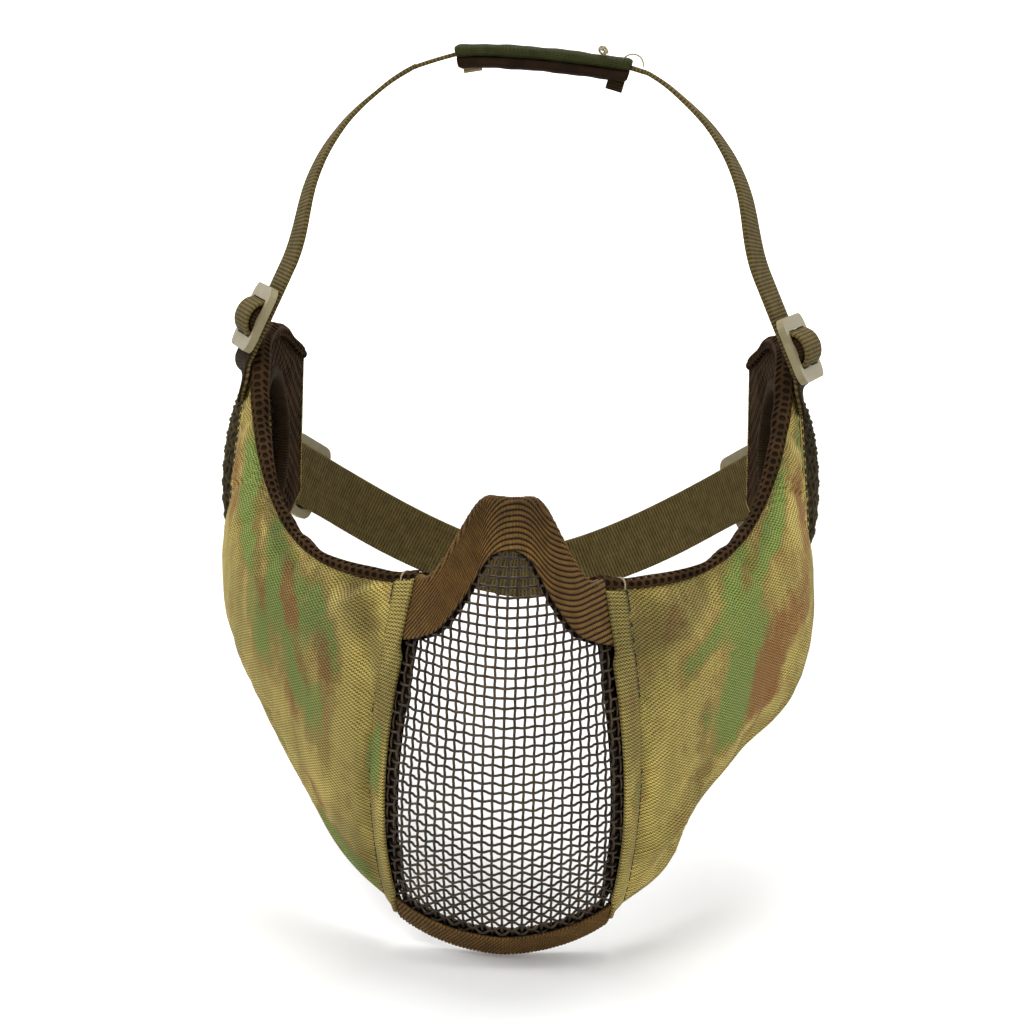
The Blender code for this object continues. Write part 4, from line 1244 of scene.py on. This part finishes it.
def top_roll(side, name):
    """Spacer mesh rolled over the top edge, thicker towards the ear and at the seam."""
    edge, out, up, place, run = roll_path(side)
    grow = smooth((place - 3.2) / 2.5)
    ripple = 0.25 * np.sin(run / (3.4 * MM) + 2 * np.sin(run / (9 * MM)))
    front = 1 - smooth(place / 1.9)
    high = (1.45 + 0.85 * grow + ripple + 0.5 * front) * MM
    deep = (1.95 + 1.15 * grow + 0.5 * ripple + 0.55 * front) * MM
    centre = edge + up * (high * (0.55 - 0.2 * front))[:, None] - out * THIN / 2
    around, rows = 2 * math.pi * 2.3 * MM, 6
    pitch = around / rows / HEX_STEP

    def surface(flat, shrink=0.0):
        middle, o, u = (rows_at(flat[:, 0], run, table) for table in (centre, out, up))
        a = (np.interp(flat[:, 0], run, deep) - shrink)[:, None]
        b = (np.interp(flat[:, 0], run, high) - shrink)[:, None]
        angle = (flat[:, 1] / around * 2 * math.pi)[:, None]
        return middle + o * a * np.cos(angle) + u * b * np.sin(angle)

    cells = hex_grid(0.8 * MM, run[-1] - 1.6 * pitch, rows, pitch)
    net = honeycomb(f"{name}_top_roll_net", surface, cells, pitch, SPACER, 0.34, 0.5 * MM, around)
    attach(net, f"{name}_wing")
    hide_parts(f"{name}_top_edge_roll")
    us = np.linspace(0, run[-1], 240)
    ws = np.linspace(0, around, 17)[:-1]
    rings = surface(pairs(us, ws).reshape(-1, 2), 0.42 * MM).reshape(len(us), len(ws), 3)
    core = loft(f"{name}_top_roll_core", rings, BACKING)
    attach(core, f"{name}_wing")
    # one pale stitch over the roll above the seam strip
    across = np.linspace(-0.17, 0.36, 24) * around
    flat = np.stack([np.full(24, np.interp(0.5 if side > 0 else 0.36, place, run)), across], 1)
    ahead = unit(surface(flat + np.array([0.5 * MM, 0])) - surface(flat))
    path = (surface(flat, -0.3 * MM), ahead, 0.3 * MM)
    tack = tubes(f"{name}_roll_tack", [path], PALE_THREAD, 6)
    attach(tack, f"{name}_wing")


# ------------------------------------------------------------------ ear openings
EAR_A, EAR_B = 26 * MM, 29 * MM


def ear_dome(side, a, b, depth):
    """A place on the ear guard's dome; a and b are local distances."""

    def surface(x, y):
        s = EAR_STATION + EAR_STATIONS_HALF * x / EAR_A
        v = EAR_V + EAR_V_HALF * y / EAR_B
        rho = np.minimum(np.hypot(x / EAR_A, y / EAR_B) / 0.985, 1.0)
        rise = (EAR_RISE - 0.5 * MM) * np.sqrt(1 - rho**2.6)
        at, normal = wing(1, s, v)
        return at + normal * (rise - 1.6 * MM)[:, None]

    at, normal = with_normals(surface, a, b, 0.25 * MM, 0.25 * MM, 0.0)
    base = wing(1, np.full(1, EAR_STATION), np.full(1, EAR_V))[1][0]
    normal = normal * np.sign(normal @ base + 0.35)[..., None]
    normal = unit(normal + base * 0.35)
    flip = np.array([side, 1, 1])
    return (at + normal * np.asarray(depth)[..., None]) * flip, normal * flip


def ear_guard(side, name):
    """A dome of crimped wires over the ear."""
    paths = []
    for along in (0, 1):
        own, other = ((EAR_A, EAR_B), (EAR_B, EAR_A))[along]
        for k in range(-9, 10):
            offset = k * PITCH
            if abs(offset) > own * 0.95:
                continue
            reach = other * math.sqrt(1 - (offset / own) ** 2) * 0.985
            line = np.linspace(-reach, reach, 900)
            fixed = np.full(len(line), offset)
            a, b = (fixed, line) if along == 0 else (line, fixed)
            sign = (1 if k % 2 == 0 else -1) * (1 if along == 0 else -1)
            swing = (COLUMN_CRIMP, ROW_CRIMP)[along] * sign
            at, normal = ear_dome(side, a, b, swing * crimp(line / PITCH))
            run = run_along(at)
            even = np.linspace(0, run[-1], max(8, int(run[-1] / (0.62 * MM))))
            paths.append((rows_at(even, run, at), rows_at(even, run, normal), 0.44 * MM))
    obj = tubes(f"{name}_ear_wires", paths, EAR_WIRE, 7)
    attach(obj, f"{name}_wing")
    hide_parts(f"{name}_ear_guard")


def ear_place(rho, angle):
    """Station and v at a share rho of the ear opening's radius."""
    return (EAR_STATION + EAR_STATIONS_HALF * rho * np.cos(angle),
            EAR_V + EAR_V_HALF * rho * np.sin(angle))


def ear_ring(side, legs):
    """Rings round the ear opening; legs are (share of the opening, height in mm)."""
    spokes = 220
    angle = np.arange(spokes) * 2 * np.pi / spokes
    wave = 0.06 * np.sin(angle * 23) + 0.05 * np.sin(angle * 41)
    rings = np.empty((spokes, len(legs), 3))
    for j, (rho, height) in enumerate(legs):
        s, v = ear_place(rho, angle)
        if height < -2:
            height = height + (THIN - padding(s, v)) / MM
        elif height > 0.5:
            height = height + wave
        rings[:, j] = wing(side, s, v, height * MM)[0]
    return rings, pairs(angle * 27 * MM, np.arange(len(legs)) * 1.1 * MM), angle


def ear_binding(side, name):
    """Folded tape round the ear opening: camo outside, dark tape on the lining."""
    legs = [(1.135, 0.35), (1.13, 0.95), (1.10, 1.45), (1.065, 1.62), (1.03, 1.5), (1.0, 1.1)]
    legs += [(0.985, 0.3), (0.98, -1.4), (1.015, -1.3), (1.03, 0.1), (1.08, 0.3)]
    rings, uv, angle = ear_ring(side, legs)
    heights = np.repeat(angle / 6.3, len(legs))
    values = camo_values(side, np.full(len(heights), 6.6), heights, rings.reshape(-1, 3))
    obj = loft(f"{name}_ear_binding", rings, CAMO, closed=True, uv=uv, values=values)
    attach(obj, f"{name}_wing")
    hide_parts(f"{name}_ear_rim")
    legs = [(0.975, -1.1), (0.97, -2.6), (0.985, -3.4), (1.01, -3.75), (1.05, -3.85)]
    legs += [(1.10, -3.7), (1.12, -3.1), (1.08, -2.7), (1.03, -2.4), (1.0, -1.2)]
    rings, uv, _ = ear_ring(side, legs)
    tape = loft(f"{name}_ear_inner_binding", rings, DARK_TAPE, closed=True, uv=uv)
    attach(tape, f"{name}_wing")
    at, normal = wing(side, *ear_place(1.105, np.linspace(0, 2 * np.pi, 400)), 1.42 * MM)
    stitches(f"{name}_ear_stitches", at, normal, f"{name}_wing")


for side, name in SIDES:
    seam_strip(side, name)
    seam_tape(side, name)
    wing_lining(side, name)
    top_roll(side, name)
    ear_guard(side, name)
    ear_binding(side, name)

# ------------------------------------------------------------------ straps
LEAN = np.array([0, math.sin(CROWN_LEAN), math.cos(CROWN_LEAN)])
ACROSS = np.array([0, math.cos(CROWN_LEAN), -math.sin(CROWN_LEAN)])
CROWN_CENTRE = CROWN_TOP - LEAN * CROWN_RADIUS
PAD_MIDDLE, PAD_HALF = (PAD_START + PAD_END) / 2, (PAD_END - PAD_START) / 2
RIBBON_STEP = 0.9 * MM


def crown_arc(phi):
    """The crown strap's route over the head, nearly straight under the pad."""
    phi = np.asarray(phi, float)
    round_one = CROWN_CENTRE + np.sin(phi)[:, None] * CROWN_RADIUS * np.array([1, 0, 0])
    round_one = round_one + np.cos(phi)[:, None] * CROWN_RADIUS * LEAN
    share = (PAD_MIDDLE - phi) / PAD_HALF
    sink = np.maximum(0, 1 - share**2) * 2.3 * MM
    tilt = 0.9 * MM * np.clip(share, -1, 1) * smooth(1.5 - np.abs(share))
    return round_one - LEAN * (sink - tilt)[:, None]


def crown_frame(side):
    """A crown slider's place, with the ways along its strap, along its bar and outwards."""
    run = unit(CROWN_DIR)
    bar = unit(CROWN_BAR)
    bar = unit(bar - run * (bar @ run))
    out = np.cross(bar, run)
    out = out * np.sign(out[0])
    flip = np.array([side, 1, 1])
    return CROWN_SLIDER * flip, run * flip, bar * flip, out * flip


def ribbon(name, path, across, mat, width=STRAP_WIDTH, thick=1.35 * MM, lift=0.0):
    """Flat webbing along a path, with rounded edges. lift moves it along its outer face."""
    length = run_along(path)
    run = np.linspace(0, length[-1], int(length[-1] / RIBBON_STEP) + 2)
    path, across = rows_at(run, length, path), unit(rows_at(run, length, across))
    ahead = unit(np.gradient(path, axis=0))
    wide = unit(across - ahead * np.sum(across * ahead, 1, keepdims=True))
    out = np.cross(wide, ahead)
    xs = np.concatenate([[-1, -0.985], np.linspace(-0.94, 0.94, 9), [0.985, 1]])
    ys = np.sqrt(1 - ((np.abs(xs) - 0.94) / 0.06).clip(0, 1) ** 2) * thick / 2
    cross_x = np.concatenate([xs, xs[-2:0:-1]])
    cross_y = np.concatenate([ys, -ys[-2:0:-1]]) + lift
    rings = path[:, None] + wide[:, None] * cross_x[None, :, None] * (width / 2)
    rings = rings + out[:, None] * cross_y[None, :, None]
    return loft(name, rings, mat, uv=pairs(run, cross_x * width / 2))


def crown_tail(side, place, run, wide):
    """The crown strap's end, from below the slider onto the wing, with its directions across."""
    s, v = np.full(3, 5.85), np.array([0.93, 0.88, 0.83])
    seat, _ = wing(side, s, v, np.array([1.9, 1.5, 1.35]) * MM)
    knots = [place - run * 5 * MM, place - run * 10 * MM, *seat]
    path = spline(knots, np.linspace(1, 3.5, 30))
    level = wing(side, s + 0.6, v)[0] - wing(side, s - 0.6, v)[0]
    level = unit(level[1] * np.array([1, 1, 0.3]))
    turn = smooth(np.linspace(-0.1, 1.6, 30))[:, None]
    return path, unit(wide * (1 - turn) + level * np.sign(level @ wide) * turn)


def crown_straps(side, name):
    """Half of the crown strap: over the head, down to the slider, through it, onto the wing."""
    place, run, bar, out = crown_frame(side)
    arc = crown_arc(side * np.linspace(math.radians(2) * side, CROWN_ARC, 60))
    flip = np.array([side, 1, 1])
    end = place + run * (CROWN_ABOVE + 0.3 * MM)
    knots = [*crown_arc(side * CROWN_ARC * np.array([5, 6]) / 6)]
    knots += [np.array(p) * MM * flip for p in CROWN_SHOULDER]
    knots += [end + run * 3 * MM]
    middle = spline(knots, 1 + np.linspace(0, 3, 80))
    way = unit(middle[-1] - middle[-2])
    reach = np.linalg.norm(end - knots[4])
    bend = hermite(knots[4], way * reach, end, -run * reach * 1.1, 40)
    middle = np.concatenate([middle[:-1], bend])
    straight = end + (place - run * 10 * MM - end) * np.linspace(0, 1, 30)[:, None]
    wide = bar if bar @ ACROSS > 0 else -bar
    tail, tail_across = crown_tail(side, place, run, wide)
    path = np.concatenate([arc[:-1], middle, straight[1:], tail[1:]])
    turn = smooth((np.arange(len(path)) - len(arc)) / len(middle))[:, None]
    across = ACROSS * (1 - turn) + wide * turn
    across[-29:] = tail_across[1:]
    strap = ribbon(f"{name}_crown_webbing", path, across, OLIVE_TAPE)
    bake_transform(strap)
    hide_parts(f"{name}_crown_anchor_strap", "crown_strap")
    place = place + run * CROWN_SHIFT[side]
    wrap(f"{name}_crown_loop", f"{name}_crown_slider", place, run, bar, out)


def wrap(name, body, place, run, bar, out):
    """Webbing looped over a slider's centre bar."""
    angle = np.linspace(0, np.pi, 40)
    legs = [(5.7, -0.4), (5.75, 0.1), (5.75, 0.8)]
    arch = [(5.8 * math.cos(a), 1.4 + 5.3 * math.sin(a) ** 0.8) for a in angle]
    points = legs + arch + [(-a, b) for a, b in legs[::-1]]
    path = np.array([place + run * a * MM + out * b * MM for a, b in points])
    across = np.tile(bar, (len(path), 1))
    piece = ribbon(name, path, across, OLIVE_TAPE, 20.4 * MM, 1.2 * MM)
    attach(piece, body)
    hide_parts(f"{body}_wrap")
    # the strap's folded end fills the loop, in dark tape: painted shade inside the loop
    points = [(3.1 * math.cos(a), 1.6 + 2.6 * math.sin(a) ** 0.8) for a in angle]
    path = np.array([place + run * a * MM + out * b * MM for a, b in points])
    fill = ribbon(f"{name}_inner", path, across[:40], DARK_TAPE, 19 * MM, 3.4 * MM)
    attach(fill, body)


def nape_frame(side):
    """The nape strap's seat on the wing, with the ways along it, along its bar and outwards."""
    seat, out = wing(1, np.array([NAPE_START_STATION]), np.array([NAPE_V]))
    run = unit(NAPE_DIR)
    bar = np.array([0, 0, 1.0])
    bar = unit(bar - run * (bar @ run))
    lift = np.cross(bar, run)
    lift = lift * np.sign(lift[0])
    flip = np.array([side, 1, 1])
    return (seat[0] + out[0] * 3.6 * MM) * flip, run * flip, bar * flip, lift * flip


def hermite(a, da, b, db, count):
    """A curve from a to b that leaves along da and arrives along db."""
    t = np.linspace(0, 1, count)[:, None]
    bend = (t**3 - 2 * t**2 + t) * da
    return (2 * t**3 - 3 * t**2 + 1) * a + bend + (3 * t**2 - 2 * t**3) * b + (t**3 - t**2) * db


def nape_path(side):
    """Half of the nape strap, to the middle of the neck, and where it leaves the wing's body."""
    start, run, bar, _ = nape_frame(side)
    end = start + run * (NAPE_LENGTH + 0.3 * MM)
    lead = end + run * 3 * MM
    span = np.linalg.norm(NAPE_BACK - lead)
    back = np.array([-side, 0, 0]) * span * 0.9
    straight = start + (lead - start) * np.linspace(0, 1, 30)[:, None]
    path = np.concatenate([straight[:-1], hermite(lead, run * span * 0.75, NAPE_BACK, back, 90)])
    turn = smooth(np.arange(len(path)) / len(path))[:, None]
    return path, bar * (1 - turn) + np.array([0, -0.12, 1]) * turn, end


def nape_join():
    """The two halves of the nape strap, sewn together behind the neck."""
    path, across, _ = nape_path(1)
    near = path[:, 0] < 9 * MM
    flip = np.array([-1, 1, 1])
    path = np.concatenate([path[near], path[near][-2::-1] * flip])
    across = np.concatenate([across[near], across[near][-2::-1] * flip])
    join = ribbon("nape_join", path, across, OLIVE_TAPE, 20.7 * MM, 2.0 * MM)
    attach(join, "face")


def nape_straps(side, name):
    start, run, bar, out = nape_frame(side)
    path, across, end = nape_path(side)
    strap = ribbon(f"{name}_nape_webbing", path, across, OLIVE_TAPE)
    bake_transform(strap)
    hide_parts(f"{name}_nape_anchor_strap", "nape_strap")
    wrap(f"{name}_nape_loop", f"{name}_nape_slider", start + run * NAPE_SLIDER_AT, run, bar, out)
    # folded tab that holds the strap's end to the wing
    path = start + run * (np.linspace(-4.5, 8.5, 16) * MM)[:, None] + out * 1.9 * MM
    across = np.tile(bar, (16, 1))
    tab = ribbon(f"{name}_nape_tab_webbing", path, across, DARK_TAPE, 23 * MM, 1.5 * MM)
    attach(tab, f"{name}_wing")
    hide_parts(f"{name}_nape_tab")


def crown_tab(side, name):
    """Dark webbing sewn over the crown strap's end, on the wing's outer face."""
    place, run, bar, _ = crown_frame(side)
    tail, tail_across = crown_tail(side, place, run, bar)
    # it starts below the lowest place that the slider's loop reaches
    lead_at = np.array([-10.4]) if side > 0 else np.linspace(-7.2, -9.9, 8)
    path = np.concatenate([place + run * (lead_at * MM)[:, None], tail[1:]])
    across = np.concatenate([np.tile(bar, (len(lead_at), 1)), tail_across[1:]])
    tab = ribbon(f"{name}_crown_tab_webbing", path, across, DARK_TAPE, 20.8 * MM, 0.75 * MM,
                 lift=-side * 0.98 * MM)
    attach(tab, f"{name}_wing")
    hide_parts(f"{name}_crown_tab")


for side, name in SIDES:
    crown_straps(side, name)
    nape_straps(side, name)
    crown_tab(side, name)
nape_join()


# ------------------------------------------------------------------ pad on the crown strap
def pad_layer(name, mat, node, low, high, half):
    """One padded layer of the crown pad, between two heights from the strap's middle."""
    phis = np.linspace(PAD_START, PAD_END, 90)
    at = crown_arc(phis)
    out = unit(at - CROWN_CENTRE)
    t = np.linspace(0, 1, len(phis))
    bulge = 0.04 * np.sin(t * 21 + 1) + 0.03 * np.sin(t * 47)
    ends = np.sqrt(np.clip(np.minimum(t, 1 - t) / 0.025, 0, 1))
    wide = half * (1 + 0.02 * np.sin(t * 9)) * (0.94 + 0.06 * ends)
    middle, deep = (low + high) / 2, (high - low) / 2
    angle = np.linspace(0, 2 * np.pi, 41)[:-1]
    x = np.sign(np.cos(angle)) * np.abs(np.cos(angle)) ** 0.35
    y = np.sign(np.sin(angle)) * np.abs(np.sin(angle)) ** 0.55
    crown = 1 + 0.22 * (1 - x**2)
    puff = ((0.75 + 0.25 * ends) * (1 + bulge))[:, None]
    height = middle + deep * (y * crown)[None, :] * puff
    rings = at[:, None] + ACROSS * (x[None, :, None] * wide[:, None, None])
    rings = rings + out[:, None] * height[..., None]
    obj = loft(name, rings, mat, uv=pairs(t * 57 * MM, angle * 8 * MM)[..., ::-1])
    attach(obj, "crown_pad")
    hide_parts(node)
    return obj


def crown_pad():
    top = pad_layer("pad_sleeve", GREEN_TAPE, "crown_pad_sleeve",
                    -1.0 * MM, 2.6 * MM, 12.6 * MM)
    under = pad_layer("pad_underside", BACKING, "crown_pad_lining",
                      -4.4 * MM, -0.7 * MM, 12.2 * MM)
    # loose ends: a small knot, a thread loop and two little flaps
    base = crown_arc(np.radians([12.2]))[0] + LEAN * 3.4 * MM - ACROSS * 10 * MM
    t = np.linspace(0, 1, 60)
    knot = [1.3 * np.sin(13 * t), 0.9 * np.cos(17 * t), 2.2 * t + 0.5 * np.sin(19 * t)]
    knot = base + np.stack(knot, 1) * MM
    base = crown_arc(np.radians([16.5]))[0] + LEAN * 1.8 * MM - ACROSS * 9 * MM
    angle = np.linspace(-0.15, 1.05, 40) * np.pi
    loop = [1.5 - 3.4 * np.cos(angle), 0.4 * np.sin(3 * angle), 3.4 * np.sin(angle) - 0.8]
    loop = base + np.stack(loop, 1) * MM
    ref = np.tile(ACROSS, (60, 1))
    paths = [(knot, ref + LEAN * 0.01, 0.42 * MM), (loop, ref[:40], 0.3 * MM)]
    threads = tubes("pad_threads", paths, PALE_THREAD, 6)
    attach(threads, "crown_pad")
    # name, angle along the strap, webbing, length and width in mm
    flaps = (("right_flap", 15.2, DARK_TAPE, 3.6, 5.5), ("left_flap", -10.0, PALE_TAPE, 1.6, 6))
    for label, phi, mat, length, wide in flaps:
        base = crown_arc(np.radians([phi]))[0]
        down = unit(CROWN_CENTRE - base) * MM
        path = base + down * np.linspace(3.0, 4.2 + length, 10)[:, None] - ACROSS * 8.5 * MM
        across = np.tile([1.0, 0, 0], (10, 1))
        flap = ribbon(f"pad_{label}", path, across, mat, wide * MM, 0.8 * MM)
        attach(flap, "crown_pad")


crown_pad()

# ------------------------------------------------------------------ carried-over nodes
for side, name in SIDES:
    for which in ("crown", "nape"):
        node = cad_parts[f"{name}_{which}_slider"]
        for place in node.material_slots:
            place.material = PLASTIC
        bevel = node.modifiers.new("Rounded", "BEVEL")
        bevel.width = 0.55 * MM
        bevel.segments = 3
        bevel.limit_method = "ANGLE"
        bevel.angle_limit = math.radians(35)

# ------------------------------------------------------------------ stage, light and camera
SWEEP_HALF, SWEEP_TOP, BEND_START, BEND_RADIUS = 3.0, 3.2, 1.0, 0.8
WALL_RADIUS, WALL_HEIGHT, WALL_SPOKES = 2.7, 1.0, 49
LIGHTS = (
    # name, place, aim, power, size
    ("key", (-0.50, -0.75, 1.05), (0, -0.03, 0), 10.0, 0.55),
    ("fill", (0.85, -0.8, 0.45), (0, -0.03, 0), 3.2, 0.8),
    ("top", (0.05, 0.25, 1.25), (0, 0.05, 0), 15, 0.9),
)
AZIMUTH, ELEVATION, ROLL = math.radians(1.5), math.radians(15), math.radians(1.2)
CAMERA_AIM, CAMERA_DISTANCE, CAMERA_LENS = (-0.0025, 0, -0.0133), 0.85, 90.6


def stage():
    """A white sweep: flat floor, rounded up into a glowing wall behind; only its far parts glow."""
    floor_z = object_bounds()[0][2] - 0.5 * MM
    bend = np.linspace(0, math.pi / 2, 17)
    profile = [(BEND_START + BEND_RADIUS * math.sin(a), BEND_RADIUS - BEND_RADIUS * math.cos(a))
               for a in bend]
    profile = [(-SWEEP_HALF, 0.0)] + profile + [(BEND_START + BEND_RADIUS, SWEEP_TOP)]
    columns = np.linspace(-SWEEP_HALF, SWEEP_HALF, 9)
    rows = np.array([[(x, y, floor_z + z) for x in columns] for y, z in profile])
    s = Shader("pale_sweep", 0.75, Base_Color=(0.80, 0.80, 0.795, 1),
               Emission_Color=(1.0, 0.997, 0.99, 1))
    x, y, z = s.split(s.place())
    away = s.math("SQRT", s.math("ADD", s.math("MULTIPLY", x, x), s.math("MULTIPLY", y, y)))
    glow = s.ramp(away, 0.25, 1.3, 0.0, 0.85)
    s.tree.links.new(glow, s.out.inputs["Emission Strength"])
    build("floor", rows, grid_faces(len(profile), len(columns)), s.mat)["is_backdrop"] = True
    # a low white wall all round, for the other camera angles; it gives no light
    around = np.linspace(0, 2 * math.pi, WALL_SPOKES)
    rows = [[(WALL_RADIUS * math.cos(a), WALL_RADIUS * math.sin(a), floor_z + z) for a in around]
            for z in (0, WALL_HEIGHT)]
    wall = build("low_wall", rows, grid_faces(2, WALL_SPOKES), s.mat)
    wall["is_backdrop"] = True
    wall.visible_diffuse = wall.visible_glossy = False
    wall.visible_transmission = wall.visible_shadow = False
    world = bpy.data.worlds.new("studio")
    bpy.context.scene.world = world
    world.use_nodes = True
    background = world.node_tree.nodes["Background"]
    background.inputs[0].default_value = (1.0, 0.995, 0.985, 1)
    background.inputs[1].default_value = 0.42
    for label, place, aim, power, wide in LIGHTS:
        data = bpy.data.lights.new(label, "AREA")
        data.energy = power
        data.size = wide
        lamp = bpy.data.objects.new(label, data)
        lamp.location = place
        way = Vector(aim) - Vector(place)
        lamp.rotation_euler = way.to_track_quat("-Z", "Y").to_euler()
        bpy.context.collection.objects.link(lamp)


def camera():
    level = math.cos(ELEVATION)
    back = Vector((math.sin(AZIMUTH) * level, -math.cos(AZIMUTH) * level, math.sin(ELEVATION)))
    right = Vector((math.cos(AZIMUTH), math.sin(AZIMUTH), 0))
    up = back.cross(right)
    across = right * math.cos(ROLL) + up * math.sin(ROLL)
    above = up * math.cos(ROLL) - right * math.sin(ROLL)
    data = bpy.data.cameras.new("camera")
    data.lens = CAMERA_LENS
    data.sensor_width = 36
    obj = bpy.data.objects.new("camera", data)
    bpy.context.collection.objects.link(obj)
    turn = Matrix((across, above, back)).transposed().to_4x4()
    turn.translation = Vector(CAMERA_AIM) + back * CAMERA_DISTANCE
    obj.matrix_world = turn
    bpy.context.scene.camera = obj


stage()
camera()
bpy.context.scene.view_settings.view_transform = "Standard"
